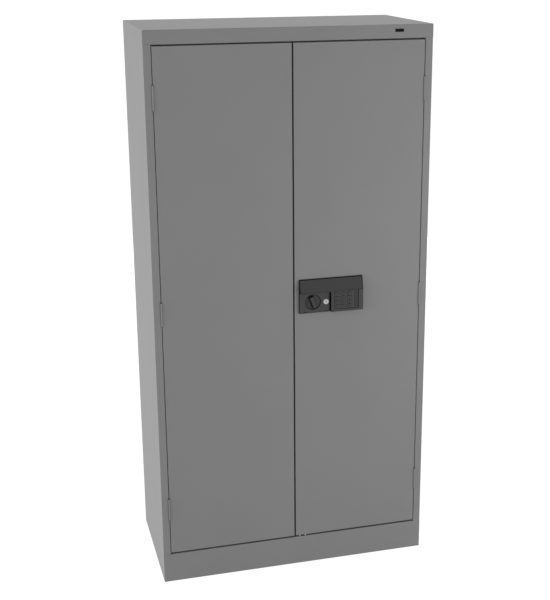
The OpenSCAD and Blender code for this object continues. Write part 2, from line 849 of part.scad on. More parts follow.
module lock_housing() {
  hood_skin = lock_wall + hood_plate_t + 0.2;
  hollow_z0 = front_z1 + lock_wall;
  hollow_z1 = lock_z1 - lock_wall - 5;
  post_reach = module_floor - lock_wall + 0.1;
  color(black_plastic) difference() {
    union() {
      difference() {
        lock_shell();
        // the hollow behind the hood, the keypad and the knob's side
        section_x(lock_x + lock_wall, lock_x1 - lock_wall, [
          [behind(1), hollow_z0], [proud(hood_at(hollow_z0) - hood_skin), hollow_z0],
          [proud(hood_at(hollow_z1) - hood_skin), hollow_z1], [behind(1), hollow_z1]
        ]);
        block([module_x0 + lock_wall, proud(module_floor - lock_wall), lock_z + lock_wall],
              [lock_x1 - lock_wall, behind(1), front_z1]);
        block([lock_x + lock_wall, proud(knob_floor - lock_wall), lock_z + lock_wall],
              [panel_x1 - lock_wall, behind(1), front_z1]);
      }
      for (at = lock_screws) bar_y([at[0], proud(post_reach), at[1]], post_reach, post_r);
    }
    hood_face();
    // seats of the knob plate, the keypad and its bezel
    knob_plate_block();
    dish();
    pry_notches();
    block([bezel_x0 - 1, proud(keypad_out + 1), bezel_z0 - 1],
          [bezel_x1 + 1, proud(module_floor), bezel_z1 + 0.4]);
    bar_y([knob_x, proud(knob_out), knob_z], knob_out + 1, spindle_r + 0.5);
    bar_y([key_x, proud(knob_out), key_z], knob_out + 1, key_body_r);
    for (at = lock_screws) bar_y([at[0], proud(screw_reach), at[1]], screw_reach + 1, screw_r);
    cable_way(proud(module_floor + 1), behind(1), 14, 6);
  }
}

module hood_plate() { color(charcoal) hood_face(); }

module knob_plate_block() {
  margin = 1.5;
  upright_plate(proud(panel_out), proud(knob_floor))
    rounded(lock_x + margin, lock_z + margin, panel_x1 - margin, lip_z - 0.5, 1);
}

// the round dish through the knob plate and into the housing's floor
module dish() {
  bar_y([knob_x, proud(panel_out + 1), knob_z], 1 + plate_t + dish_deep, dish_d / 2, $fn = 96);
}

// the plate round the knob, open over the dish
module knob_plate() {
  color(charcoal) difference() {
    knob_plate_block();
    dish();
    pry_notches();
    bar_y([key_x, proud(panel_out), key_z], panel_out, key_body_r);
  }
}

module key_cylinder() {
  color(zinc) difference() {
    union() {
      bar_y([key_x, proud(panel_out), key_z], panel_out + 14, key_body_r);
      bar_y([key_x, proud(panel_out + 2), key_z], 2, key_flange_d / 2);
    }
    bar_y([key_x, proud(panel_out + 3), key_z], panel_out + 18, key_plug_d / 2 + turn_gap);
  }
}

// the plug that the key turns, with the tail that works the solenoid's release
module key_plug() {
  color("#d8d9db") difference() {
    union() {
      bar_y([key_x, proud(panel_out + 2.3), key_z], panel_out + 2.3 + 14.5, key_plug_d / 2);
      block([key_x - 1.5, behind(14.5 - eps), key_z - 4], [key_x + 1.5, behind(18), key_z + 9]);
    }
    block([key_x - 0.9, proud(panel_out + 3), key_z - 3.8],
          [key_x + 0.9, proud(panel_out - 4), key_z + 3.8]);
  }
}

// where a key sits: column 0 to 2 from the left, row 0 to 3 from the bottom
function key_place(column, row) = [key_x0 + column * key_pitch_x, key_z0 + row * key_pitch_z];

module key_outline(at, spare) {
  rounded(at[0] - key_w / 2 - spare, at[1] - key_h / 2 - spare,
          at[0] + key_w / 2 + spare, at[1] + key_h / 2 + spare, 1.2);
}

// a cap with a flange that holds it behind the bezel and a stem that meets the board
module keypad_key(column, row) {
  at = key_place(column, row);
  flange_out = bezel_out - bezel_t - slide_gap;
  stem_out = module_floor + board_t + key_travel + 0.2;
  color("#3a3b3d") {
    upright_plate(proud(key_out), proud(flange_out - eps)) key_outline(at, 0);
    upright_plate(proud(flange_out), proud(flange_out - flange_t)) key_outline(at, 1);
    bar_y([at[0], proud(flange_out - flange_t + eps), at[1]],
          flange_out - flange_t - stem_out + eps, 2);
  }
}

module key_1() { keypad_key(0, 3); }
module key_2() { keypad_key(1, 3); }
module key_3() { keypad_key(2, 3); }
module key_4() { keypad_key(0, 2); }
module key_5() { keypad_key(1, 2); }
module key_6() { keypad_key(2, 2); }
module key_7() { keypad_key(0, 1); }
module key_8() { keypad_key(1, 1); }
module key_9() { keypad_key(2, 1); }
module key_star() { keypad_key(0, 0); }
module key_0() { keypad_key(1, 0); }
module key_hash() { keypad_key(2, 0); }

// the plate that frames the keys, on four legs that stand on the housing's floor
module keypad_bezel() {
  leg = 2.2;
  color(charcoal) difference() {
    union() {
      block([bezel_x0, proud(bezel_out), bezel_z0], [bezel_x1, proud(bezel_out - bezel_t), bezel_z1]);
      for (x = [bezel_x0, bezel_x1 - leg], z = [bezel_z0, bezel_z1 - leg])
        block([x, proud(bezel_out - bezel_t + eps), z], [x + leg, proud(module_floor), z + leg]);
    }
    upright_plate(proud(bezel_out + 1), proud(bezel_out - bezel_t - eps))
      for (column = [0 : 2], row = [0 : 3]) key_outline(key_place(column, row), key_gap);
    strip_block(0.2, bezel_out + 1, bezel_out - bezel_t - eps);
  }
}

module strip_block(spare, out0, out1) {
  block([strip_x0 - spare, proud(out0), bezel_z0 + strip_end - spare],
        [strip_x0 + strip_w + spare, proud(out1), bezel_z1 - strip_end + spare]);
}

// the light strip beside the keys, held behind the bezel by its flange
module indicator_strip() {
  color("#202224") {
    strip_block(0, bezel_out + 0.2, bezel_out - bezel_t - eps);
    strip_block(0.6, bezel_out - bezel_t, bezel_out - bezel_t - 1);
    strip_block(-1.5, bezel_out - bezel_t - 1 + eps, module_floor + board_t);
  }
}

module circuit_board() {
  color("#1f5a3a")
    block([bezel_x0 + board_in, proud(module_floor + board_t), bezel_z0 + board_in],
          [bezel_x1 - board_in, proud(module_floor), bezel_z1 - board_in]);
}

// ---------------------------------------------------------------- lock, behind the door

module lock_backplate() {
  color(zinc) difference() {
    block([lock_x + plate_margin, behind(sheet_t), lock_z + plate_margin],
          [lock_x1 - plate_margin, plate_y, lock_z1 - plate_margin]);
    bar_y([knob_x, behind(0), knob_z], 10, spindle_r + turn_gap);
    bar_y([key_x, behind(0), key_z], 10, key_body_r);
    for (at = lock_screws) bar_y([at[0], behind(0), at[1]], 10, screw_r);
    cable_way(front_y, behind(10), 20, 10);
  }
}

module lock_fasteners() {
  nut_r = 11;
  color(zinc) {
    for (at = lock_screws) difference() {
      union() {
        bar_y([at[0], proud(screw_reach), at[1]], plate_y - proud(screw_reach), screw_r);
        bar_y([at[0], plate_y, at[1]], screw_head_t, screw_head_r);
      }
      bar_y([at[0], plate_y + screw_head_t - 1, at[1]], 2, 1.4, $fn = 6);
    }
    difference() {
      translate([key_x, plate_y, key_z]) rotate([-90, 0, 0]) cylinder(h = 3, r = nut_r, $fn = 6);
      bar_y([key_x, plate_y - 1, key_z], 6, key_body_r);
    }
  }
}

// the steel box over the works, notched where the rods and the bolt come out
module lock_inner_cover() {
  x0 = door_x0 + door_rim + 1;
  x1 = lock_x1 + 1;
  z0 = lock_z - 7;
  z1 = lock_z1 + 7;
  slot_r = rod_r + 1;
  color(paint) difference() {
    block([x0, behind(sheet_t), z0], [x1, behind(cover_in), z1]);
    block([x0 + sheet_t, behind(0), z0 + sheet_t],
          [x1 - sheet_t, behind(cover_in - sheet_t), z1 - sheet_t]);
    block([rod_x - slot_r, behind(0), z0 - 1], [rod_x + slot_r, behind(rod_in + slot_r), z0 + 2]);
    block([rod_x - slot_r, behind(0), z1 - 2], [rod_x + slot_r, behind(rod_in + slot_r), z1 + 1]);
    bolt_slot(x0, x0 + sheet_t);
  }
}

module battery_holder() {
  depth = 12;
  color(black_plastic) difference() {
    block([tray_x0, plate_y, tray_z0],
          [tray_x0 + cells_w + 2 * tray_t, plate_y + depth, tray_z0 + cell_len + 1 + 2 * tray_t]);
    block([tray_x0 + tray_t, plate_y + tray_t, tray_z0 + tray_t],
          [tray_x0 + tray_t + cells_w, plate_y + depth + 1, tray_z0 + tray_t + cell_len + 1]);
  }
}

module batteries() {
  nub = 1.2;
  nub_r = 2.7;
  color("#8d8f92") for (i = [0 : 3])
    translate([tray_x0 + tray_t + 0.15 + cell_pitch * (i + 0.5),
               plate_y + tray_t + cell_d / 2 + 0.05, tray_z0 + tray_t + 0.5]) {
      cylinder(h = cell_len - nub, r = cell_d / 2);
      translate([0, 0, cell_len - nub - eps]) cylinder(h = nub, r = nub_r);
    }
}

// the coil whose plunger locks the cam
module solenoid() {
  x0 = plunger_x + 10;
  half_h = 9.5;
  length = 36;
  color("#5c6064") difference() {
    block([x0, plate_y, plunger_z - half_h],
          [x0 + length, behind(cam_in + cam_t / 2 + 5), plunger_z + half_h]);
    bar_x([x0 - 1, behind(cam_in + cam_t / 2), plunger_z], length - 2, plunger_d / 2 + turn_gap);
  }
}

module solenoid_plunger() {
  color("#c9ccd0")
    bar_x([plunger_x, behind(cam_in + cam_t / 2), plunger_z], 36, plunger_d / 2);
}

// ---------------------------------------------------------------- what is drawn

left_side_panel();
right_side_panel();
back_panel();
top_panel();
base_frame();
bottom_shelf();
slotted_uprights();
shelf_1();
shelf_2();
shelf_3();
shelf_4();
shelf_clips();
corner_gussets();
hinge_frame_leaves();
hinge_pins();
door_bumpers();
nameplate();
left_door_skin();
left_door_stiffener();
left_hinge_leaves();
left_door_strike();
right_door_skin();
right_door_stiffener();
right_hinge_leaves();
rod_guides();
lower_rod_guide();
lock_housing();
hood_plate();
knob_plate();
keypad_bezel();
indicator_strip();
circuit_board();
key_cylinder();
lock_backplate();
lock_inner_cover();
battery_holder();
batteries();
solenoid();
lock_fasteners();
knob();
spindle();
lock_cam();
upper_rod();
lower_rod();
centre_bolt();
key_plug();
solenoid_plunger();
key_1();
key_2();
key_3();
key_4();
key_5();
key_6();
key_7();
key_8();
key_9();
key_star();
key_0();
key_hash();
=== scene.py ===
import math

import bmesh
import bpy
from mathutils import Matrix, Vector


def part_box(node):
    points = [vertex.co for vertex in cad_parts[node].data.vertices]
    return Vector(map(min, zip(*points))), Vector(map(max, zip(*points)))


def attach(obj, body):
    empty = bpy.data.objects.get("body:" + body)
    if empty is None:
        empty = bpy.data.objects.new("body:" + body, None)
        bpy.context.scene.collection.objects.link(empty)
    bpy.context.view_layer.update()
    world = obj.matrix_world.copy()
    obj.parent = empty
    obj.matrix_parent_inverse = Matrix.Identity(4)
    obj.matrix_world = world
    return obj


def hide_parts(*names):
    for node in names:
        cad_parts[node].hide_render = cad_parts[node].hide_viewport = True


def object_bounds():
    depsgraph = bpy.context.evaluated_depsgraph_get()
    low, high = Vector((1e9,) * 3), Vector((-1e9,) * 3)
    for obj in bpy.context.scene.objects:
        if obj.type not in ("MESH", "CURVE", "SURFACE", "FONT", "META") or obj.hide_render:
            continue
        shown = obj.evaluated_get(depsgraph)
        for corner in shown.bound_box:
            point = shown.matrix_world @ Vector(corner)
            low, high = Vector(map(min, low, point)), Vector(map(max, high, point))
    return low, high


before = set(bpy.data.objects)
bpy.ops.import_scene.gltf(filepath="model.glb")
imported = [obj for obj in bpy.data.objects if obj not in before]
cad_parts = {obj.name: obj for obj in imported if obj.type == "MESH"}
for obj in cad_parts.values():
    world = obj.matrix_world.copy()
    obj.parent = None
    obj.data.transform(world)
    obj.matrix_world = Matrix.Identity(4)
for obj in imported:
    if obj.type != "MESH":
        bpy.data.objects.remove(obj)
cad_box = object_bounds()
mm = 0.001

# ---- Camera ----
# The photographer stood to the left of the cabinet, a little above its top, and looked down at
# it. The lens, the place and the angles were solved from the case's corners in the photograph.
photo_w, photo_h = 550, 600
focal_px = 1158.9
lens_axis_px = (306.2, 286.0)
camera_at = Vector((-919.5, -3699.0, 2085.6)) * mm
turned_right, tipped_down, rolled = (math.radians(a) for a in (15.473, 16.704, 0.140))

lens = bpy.data.cameras.new("photo_lens")
lens.sensor_width = 36
lens.lens = focal_px * lens.sensor_width / photo_h
lens.shift_x = (photo_w / 2 - lens_axis_px[0]) / photo_h
lens.shift_y = (lens_axis_px[1] - photo_h / 2) / photo_h
camera = bpy.data.objects.new("photo_camera", lens)
camera.matrix_world = (
    Matrix.Translation(camera_at)
    @ Matrix.Rotation(-turned_right, 4, "Z")
    @ Matrix.Rotation(math.pi / 2 - tipped_down, 4, "X")
    @ Matrix.Rotation(-rolled, 4, "Z")
)
bpy.context.scene.collection.objects.link(camera)
bpy.context.scene.camera = camera


# ---- Side panels ----
# Each side is one sheet of 1 mm cold-rolled steel, bent round at the front into a post and back
# inside it, with a lip at the rear and one at the top. It is powder coated after welding.
def linear(code):
    """an sRGB hex colour as the linear colour that a shader takes"""
    parts = [int(code[i:i + 2], 16) / 255 for i in (1, 3, 5)]
    return [c / 12.92 if c <= 0.04045 else ((c + 0.055) / 1.055) ** 2.4 for c in parts] + [1]


def add_node(material, kind, settings, links=()):
    """a shader node with its settings by name or number, and what feeds its inputs"""
    node = material.node_tree.nodes.new(kind)
    for key, value in settings.items():
        if isinstance(key, int) or key in node.inputs:
            node.inputs[key].default_value = value
        else:
            setattr(node, key, value)
    for socket, source in dict(links).items():
        material.node_tree.links.new(source, node.inputs[socket])
    return node


def new_material(name):
    """a material with only its output, and its own coordinates in metres"""
    material = bpy.data.materials.new(name)
    material.use_nodes = True
    material.node_tree.nodes.clear()
    place = add_node(material, "ShaderNodeTexCoord", {}).outputs["Object"]
    return material, place


def finish_material(material, shader):
    """gives a material its surface and hands it back"""
    add_node(material, "ShaderNodeOutputMaterial", {}, {"Surface": shader.outputs["BSDF"]})
    return material


def powder_coat(name, code, other_code):
    """Polyester powder coat, sprayed and baked: a satin skin with faint orange peel, about 2 mm
    from bump to bump, and a tone that drifts a little over each sheet as the film's depth does."""
    peel_m, drift_m = 2.2 * mm, 260 * mm
    material, place = new_material(name)
    drift = add_node(material, "ShaderNodeTexNoise", {"Scale": 1 / drift_m, "Detail": 2},
                     {"Vector": place})
    peel = add_node(material, "ShaderNodeTexNoise", {"Scale": 1 / peel_m, "Detail": 3},
                    {"Vector": place})
    tone = add_node(material, "ShaderNodeMix",
                    {"data_type": "RGBA", 6: linear(code), 7: linear(other_code)},
                    {0: drift.outputs["Fac"]})
    sheen = add_node(material, "ShaderNodeMapRange", {"To Min": 0.42, "To Max": 0.50},
                     {"Value": peel.outputs["Fac"]})
    relief = add_node(material, "ShaderNodeBump", {"Strength": 0.12, "Distance": 0.04 * mm},
                      {"Height": peel.outputs["Fac"]})
    return finish_material(material, add_node(
        material, "ShaderNodeBsdfPrincipled", {"Metallic": 0.0, "IOR": 1.5},
        {"Base Color": tone.outputs[2], "Roughness": sheen.outputs[0], "Normal": relief.outputs[0]}))


def bent(path, sheet, outside, right_hand=True, steps=5):
    """the closed outline of a folded sheet: the path is its one face, with each bend an arc"""
    side = -1 if right_hand else 1
    points = [Vector(p) for p in path]
    face, back = [], []

    def step(p, normal):
        face.append(p)
        back.append(p + side * normal * sheet)

    for i, p in enumerate(points):
        into = (p - points[i - 1]).normalized() if i else (points[1] - p).normalized()
        away = (points[i + 1] - p).normalized() if i + 1 < len(points) else into
        normal_in = Vector((-into.y, into.x))
        bend = math.atan2(into.x * away.y - into.y * away.x, into.dot(away))
        if abs(bend) < 1e-6:
            step(p, normal_in)
            continue
        towards = 1 if bend > 0 else -1
        radius = outside if towards == side else outside - sheet
        centre = p - into * radius * math.tan(abs(bend) / 2) + towards * normal_in * radius
        for k in range(steps + 1):
            swing = Matrix.Rotation(bend * k / steps, 2)
            normal = swing @ normal_in
            step(centre - towards * normal * radius, normal)
    return face + back[::-1]


def run(bm, outline, axis, start, end):
    """an outline in the other two axes, in X, Y, Z order, run along an axis"""
    def at(p, along):
        places = {"X": (along, p[0], p[1]), "Y": (p[0], along, p[1]), "Z": (p[0], p[1], along)}
        return Vector(places[axis])

    near = [bm.verts.new(at(p, start)) for p in outline]
    far = [bm.verts.new(at(p, end)) for p in outline]
    bm.faces.new(near)
    bm.faces.new(far)
    for i in range(len(near)):
        bm.faces.new((near[i - 1], near[i], far[i], far[i - 1]))


def box(bm, low, high):
    """a plain block, for lips and for cutting"""
    low, high = Vector(low), Vector(high)
    outline = [(low.x, low.y), (high.x, low.y), (high.x, high.y), (low.x, high.y)]
    run(bm, outline, "Z", low.z, high.z)


def piece(name, bm, material):
    """an object made of what the bmesh holds"""
    bmesh.ops.recalc_face_normals(bm, faces=bm.faces)
    mesh = bpy.data.meshes.new(name)
    bm.to_mesh(mesh)
    bm.free()
    mesh.materials.append(material)
    made = bpy.data.objects.new(name, mesh)
    bpy.context.scene.collection.objects.link(made)
    return made


def settle(made):
    """applies a piece's modifiers"""
    graph = bpy.context.evaluated_depsgraph_get()
    mesh = bpy.data.meshes.new_from_object(made.evaluated_get(graph))
    made.modifiers.clear()
    made.data = mesh


def carve(made, bm):
    """cuts what the bmesh holds out of a piece"""
    tool = piece("cutter", bm, made.data.materials[0])
    cut = made.modifiers.new("cut", "BOOLEAN")
    cut.operation, cut.object, cut.solver, cut.use_self = "DIFFERENCE", tool, "EXACT", True
    settle(made)
    bpy.data.objects.remove(tool)


def soften(made, radius=0, steps=2, sharp=30, crease=40):
    """rounds the edges sharper than one angle, and shades flat across those sharper than another"""
    if radius:
        ease = made.modifiers.new("ease", "BEVEL")
        ease.width, ease.segments, ease.limit_method = radius, steps, "ANGLE"
        ease.angle_limit, ease.use_clamp_overlap = math.radians(sharp), True
        settle(made)
    made.data.polygons.foreach_set("use_smooth", [True] * len(made.data.polygons))
    made.data.set_sharp_from_angle(angle=math.radians(crease))
    weigh = made.modifiers.new("weigh", "WEIGHTED_NORMAL")
    weigh.keep_sharp = True
    settle(made)


case_paint = powder_coat("powder_coated_steel", "#848484", "#7e7e7e")
sheet = 1 * mm
bend_r = 1.3 * mm
post_w, header_h = 24 * mm, 43 * mm
side_low, side_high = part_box("right_side_panel")
door_low, door_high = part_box("right_door_skin")
front, rear, case_x = side_low.y, side_high.y, side_high.x
inside_x = case_x - sheet
post_x = case_x - post_w
case_top = cad_box[1].z
kick_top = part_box("bottom_shelf")[1].z
header_z = case_top - header_h
fold_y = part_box("bottom_shelf")[0].y
lip_w, rail_h = 15 * mm, 25 * mm
hinge_len, hinge_play = 78 * mm, 2 * mm
hinge_low, hinge_high = door_low.z + 161 * mm, door_high.z - 153 * mm
hinge_heights = [hinge_low, (hinge_low + hinge_high) / 2, hinge_high]
pin_x, pin_y = case_x - 25 * mm, front - 1 * mm
notch_r, notch_out = 3.6 * mm, 5 * mm


def hinge_notches(bm, mirror):
    """where the hinge knuckles sit in the bend of a post or of a door"""
    reach = hinge_len / 2 + hinge_play
    for z in hinge_heights:
        box(bm, (mirror * pin_x - notch_r, front - notch_out, z - reach),
            (mirror * pin_x + notch_r, pin_y + notch_r, z + reach))


for name, mirror in (("right_side_panel", 1), ("left_side_panel", -1)):
    bm = bmesh.new()
    path = [(post_x, fold_y), (post_x, front), (case_x, front), (case_x, rear)]
    outline = [(mirror * x, y) for x, y in bent(path, sheet, bend_r, right_hand=False)]
    run(bm, outline, "Z", 0, side_high.z)
    panel = piece(name + "_sheet", bm, case_paint)
    # The post ends where the kick plate and the header, folded from other sheets, take over.
    bm = bmesh.new()
    for low_z, high_z in ((-sheet, kick_top), (header_z, case_top)):
        xs = sorted((mirror * (post_x - sheet), mirror * inside_x))
        box(bm, (xs[0], front - sheet, low_z), (xs[1], fold_y + sheet, high_z))
        box(bm, (mirror * case_x - 2 * sheet, front - sheet, low_z),
            (mirror * case_x + 2 * sheet, front + sheet, high_z))
    carve(panel, bm)
    bm = bmesh.new()
    hinge_notches(bm, mirror)
    carve(panel, bm)
    # The rear lip takes the back panel, and the top lip the top.
    bm = bmesh.new()
    bm.from_mesh(panel.data)
    lip_x = sorted((mirror * (inside_x - lip_w), mirror * inside_x))
    box(bm, (lip_x[0], rear - 2 * sheet, rail_h), (lip_x[1], rear - sheet, side_high.z))
    box(bm, (lip_x[0], fold_y, side_high.z - sheet), (lip_x[1], rear - sheet, side_high.z))
    bm.to_mesh(panel.data)
    bm.free()
    soften(panel)
    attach(panel, "cabinet")
    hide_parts(name)

# ---- Top panel ----
# One sheet makes the top and the header: it is bent down at the front, back under the header and
# down again into the flange that the doors' upper edges stop against. Welded to the sides.
def circle(x, y, radius, steps=32):
    """points round a circle, counter-clockwise"""
    turns = [2 * math.pi * k / steps for k in range(steps)]
    return [(x + radius * math.cos(a), y + radius * math.sin(a)) for a in turns]


rod_r, rod_in, rod_hole = 4 * mm, 10 * mm, 5 * mm
rod_x, rod_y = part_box("upper_rod")[0].x + rod_r, front + rod_in
stop_y = fold_y - sheet
top_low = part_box("top_panel")[0]
bm = bmesh.new()
path = [(stop_y, top_low.z), (stop_y, header_z), (front, header_z),
        (front, case_top), (rear, case_top)]
run(bm, bent(path, sheet, bend_r), "X", -case_x, case_x)
top_panel = piece("top_panel_sheet", bm, case_paint)
# The folds under the header are cut back at both ends to lie between the side panels.
end_cuts = (inside_x, front + sheet, header_z + 2 * sheet), (post_x, stop_y - sheet, header_z)
bm = bmesh.new()
for side in (-1, 1):
    for inner, low_y, high_z in end_cuts:
        xs = sorted((side * inner, side * (case_x + sheet)))
        box(bm, (xs[0], low_y, top_low.z - sheet), (xs[1], fold_y + sheet, high_z))
run(bm, circle(rod_x, rod_y, rod_hole), "Z", header_z - sheet, header_z + 3 * sheet)
carve(top_panel, bm)
soften(top_panel)
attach(top_panel, "cabinet")
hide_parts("top_panel")

# ---- Base frame ----
# The kick plate is folded like the header: a lip under it, and a flange behind the doors' lower
# edges. Folded rails run round the foot and carry the case, welded at the corners.
base_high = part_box("base_frame")[1]
bm = bmesh.new()
path = [(front + lip_w, 0), (front, 0), (front, kick_top),
        (stop_y, kick_top), (stop_y, base_high.z)]
run(bm, bent(path, sheet, bend_r), "X", -case_x, case_x)
base_frame = piece("base_frame_sheet", bm, case_paint)
bm = bmesh.new()
for side in (-1, 1):
    xs = sorted((side * inside_x, side * (case_x + sheet)))
    box(bm, (xs[0], front + sheet, -sheet), (xs[1], fold_y + sheet, base_high.z + sheet))
    xs = sorted((side * post_x, side * (case_x + sheet)))
    box(bm, (xs[0], stop_y - sheet, kick_top), (xs[1], fold_y + sheet, base_high.z + sheet))
run(bm, circle(rod_x, rod_y, rod_hole), "Z", kick_top - 3 * sheet, kick_top + sheet)
carve(base_frame, bm)
# The side rails and the rear rail are angles of the same sheet.
bm = bmesh.new()
bm.from_mesh(base_frame.data)
for side in (-1, 1):
    path = [(side * (inside_x - lip_w), 0), (side * inside_x, 0), (side * inside_x, rail_h)]
    run(bm, bent(path, sheet, bend_r, right_hand=side < 0), "Y", front + lip_w, rear - sheet - lip_w)
path = [(rear - sheet - lip_w, 0), (rear - sheet, 0), (rear - sheet, rail_h)]
run(bm, bent(path, sheet, bend_r, right_hand=False), "X", -inside_x, inside_x)
box(bm, (-inside_x, rear - sheet, 0), (inside_x, rear, sheet))
bmesh.ops.recalc_face_normals(bm, faces=bm.faces)
bm.to_mesh(base_frame.data)
bm.free()
soften(base_frame)
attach(base_frame, "cabinet")
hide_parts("base_frame")


# ---- Back panel and gussets ----
# A flat sheet closes the back, spot welded to the side panels' lips, which leaves a column of
# shallow round dimples near each edge. A 3 mm gusset with an anchor hole is welded into each corner
# of the foot. Both wear the same paint.
def weld_marks(bm, low_z, high_z, spacing, xs, bottom_y, top_y, radius):
    """cutters for columns of shallow round marks, such as spot welds leave"""
    count = int((high_z - low_z) / spacing)
    for k in range(count):
        z = low_z + (k + 0.5) * (high_z - low_z) / count
        for x in xs:
            run(bm, circle(x, z, radius, steps=16), "Y", bottom_y, top_y)


weld_r, weld_deep, weld_step, weld_in = 5 * mm, 0.7 * mm, 150 * mm, 9 * mm
back_low, back_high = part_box("back_panel")
bm = bmesh.new()
box(bm, back_low, back_high)
back_panel = piece("back_panel_sheet", bm, case_paint)
weld_xs = back_low.x + weld_in, back_high.x - weld_in
bm = bmesh.new()
weld_marks(bm, back_low.z, back_high.z, weld_step, weld_xs, rear - weld_deep, rear + sheet, weld_r)
carve(back_panel, bm)
soften(back_panel, radius=0.3 * mm, steps=1, sharp=60)
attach(back_panel, "cabinet")
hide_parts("back_panel")


def dress(material, *nodes):
    """gives CAD nodes whose shape is right their finish"""
    for name in nodes:
        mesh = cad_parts[name].data
        mesh.materials.clear()
        mesh.materials.append(material)


dress(case_paint, "corner_gussets")

# ---- Hinges ----
# Five-knuckle steel hinges, three to a door, welded between post and door and painted over with
# them. Each turns on a black headed pin.
black_oxide_steel, place = new_material("black_oxide_steel")
drawn_m = 0.9 * mm
stretched = add_node(black_oxide_steel, "ShaderNodeMapping", {"Scale": (1, 1, 0.04)}, {"Vector": place})
lines = add_node(black_oxide_steel, "ShaderNodeTexNoise", {"Scale": 1 / drawn_m, "Detail": 2},
                 {"Vector": stretched.outputs[0]})
oxide = add_node(black_oxide_steel, "ShaderNodeMix",
                 {"data_type": "RGBA", 6: linear("#2b2c2e"), 7: linear("#3d3f42")},
                 {0: lines.outputs["Fac"]})
dull = add_node(black_oxide_steel, "ShaderNodeMapRange", {"To Min": 0.34, "To Max": 0.48},
                {"Value": lines.outputs["Fac"]})
draw = add_node(black_oxide_steel, "ShaderNodeBump", {"Strength": 0.15, "Distance": 0.02 * mm},
                {"Height": lines.outputs["Fac"]})
# Oxide is not bare metal: dark, half metallic, with a soft satin gleam along the drawing lines.
# These are 0.1 mm apart on a real pin or rod, and are drawn coarser so that they show.
finish_material(black_oxide_steel, add_node(
    black_oxide_steel, "ShaderNodeBsdfPrincipled", {"Metallic": 0.6},
    {"Base Color": oxide.outputs[2], "Roughness": dull.outputs[0], "Normal": draw.outputs[0]}))
dress(case_paint, "hinge_frame_leaves", "left_hinge_leaves", "right_hinge_leaves")
dress(black_oxide_steel, "hinge_pins")


# ---- Doors ----
# Each door is a pan of 1 mm sheet: a flat face, four edges bent back 20 mm and a rim folded in
# behind them, notched for the hinges and slotted at the free edge for the centre bolt.
def pan(name, low, high, mouth_low, mouth_high, material):
    """a folded tray: a soft-edged block, hollowed to the sheet, with its open side cut away"""
    bm = bmesh.new()
    box(bm, low, high)
    made = piece(name, bm, material)
    ease = made.modifiers.new("ease", "BEVEL")
    ease.width, ease.segments = bend_r, 4
    settle(made)
    bm = bmesh.new()
    inset = Vector((sheet, sheet, sheet))
    box(bm, low + inset, high - inset)
    carve(made, bm)
    bm = bmesh.new()
    box(bm, mouth_low, mouth_high)
    carve(made, bm)
    return made


door_rim, mouth_in = 15 * mm, 10 * mm
bolt_low, bolt_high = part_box("centre_bolt")
bolt_z, bolt_half = (bolt_low.z + bolt_high.z) / 2, 5 * mm
bolt_slot_y = front + 9 * mm, front + 13 * mm
spindle_low, spindle_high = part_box("spindle")
knob_x, knob_z = (spindle_low.x + spindle_high.x) / 2, (spindle_low.z + spindle_high.z) / 2
guide_low, guide_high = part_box("lower_rod_guide")
guide_hole, spindle_hole = 4.3 * mm, 5 * mm
leg_w, leg_slot_y = 3.2 * mm, (front + 1.5 * mm, front + 7.7 * mm)

for name, side in (("right_door_skin", 1), ("left_door_skin", -1)):
    low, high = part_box(name)
    inner = Vector((low.x + door_rim, front + mouth_in, low.z + door_rim))
    outer = Vector((high.x - door_rim, high.y + sheet, high.z - door_rim))
    door = pan(name + "_sheet", low, high, inner, outer, case_paint)
    bm = bmesh.new()
    hinge_notches(bm, side)
    free_x = low.x if side > 0 else high.x
    box(bm, (free_x - 1.5 * sheet, bolt_slot_y[0], bolt_z - bolt_half),
        (free_x + 1.5 * sheet, bolt_slot_y[1], bolt_z + bolt_half))
    carve(door, bm)
    if side > 0:
        bm = bmesh.new()
        for z in (low.z, high.z):
            run(bm, circle(rod_x, rod_y, guide_hole), "Z", z - 2 * sheet, z + 2 * sheet)
        for leg_x in (guide_low.x, guide_high.x - leg_w):
            box(bm, (leg_x, leg_slot_y[0], low.z - sheet),
                (leg_x + leg_w, leg_slot_y[1], low.z + 2 * sheet))
        run(bm, circle(knob_x, knob_z, spindle_hole), "Y", front - sheet, front + 2 * sheet)
        carve(door, bm)
    soften(door)
    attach(door, name.replace("_skin", ""))
    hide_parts(name)

# ---- Door stiffeners ----
# A hat channel of the same sheet runs down the inside of each door and is spot welded through its
# brims, which leaves a row of shallow round dimples.
brim_w, dimple_r, dimple_deep, dimple_step = 12 * mm, 3 * mm, 0.3 * mm, 120 * mm
for name in ("right_door_stiffener", "left_door_stiffener"):
    low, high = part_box(name)
    brim_y, web_y = low.y + sheet, high.y
    path = [(low.x, brim_y), (low.x + brim_w, brim_y), (low.x + brim_w, web_y),
            (high.x - brim_w, web_y), (high.x - brim_w, brim_y), (high.x, brim_y)]
    bm = bmesh.new()
    run(bm, bent(path, sheet, bend_r), "Z", low.z, high.z)
    channel = piece(name + "_sheet", bm, case_paint)
    brim_xs = low.x + brim_w / 2, high.x - brim_w / 2
    bm = bmesh.new()
    weld_marks(bm, low.z, high.z, dimple_step, brim_xs, brim_y - dimple_deep, brim_y + sheet, dimple_r)
    carve(channel, bm)
    soften(channel)
    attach(channel, name.replace("_stiffener", ""))
    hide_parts(name)

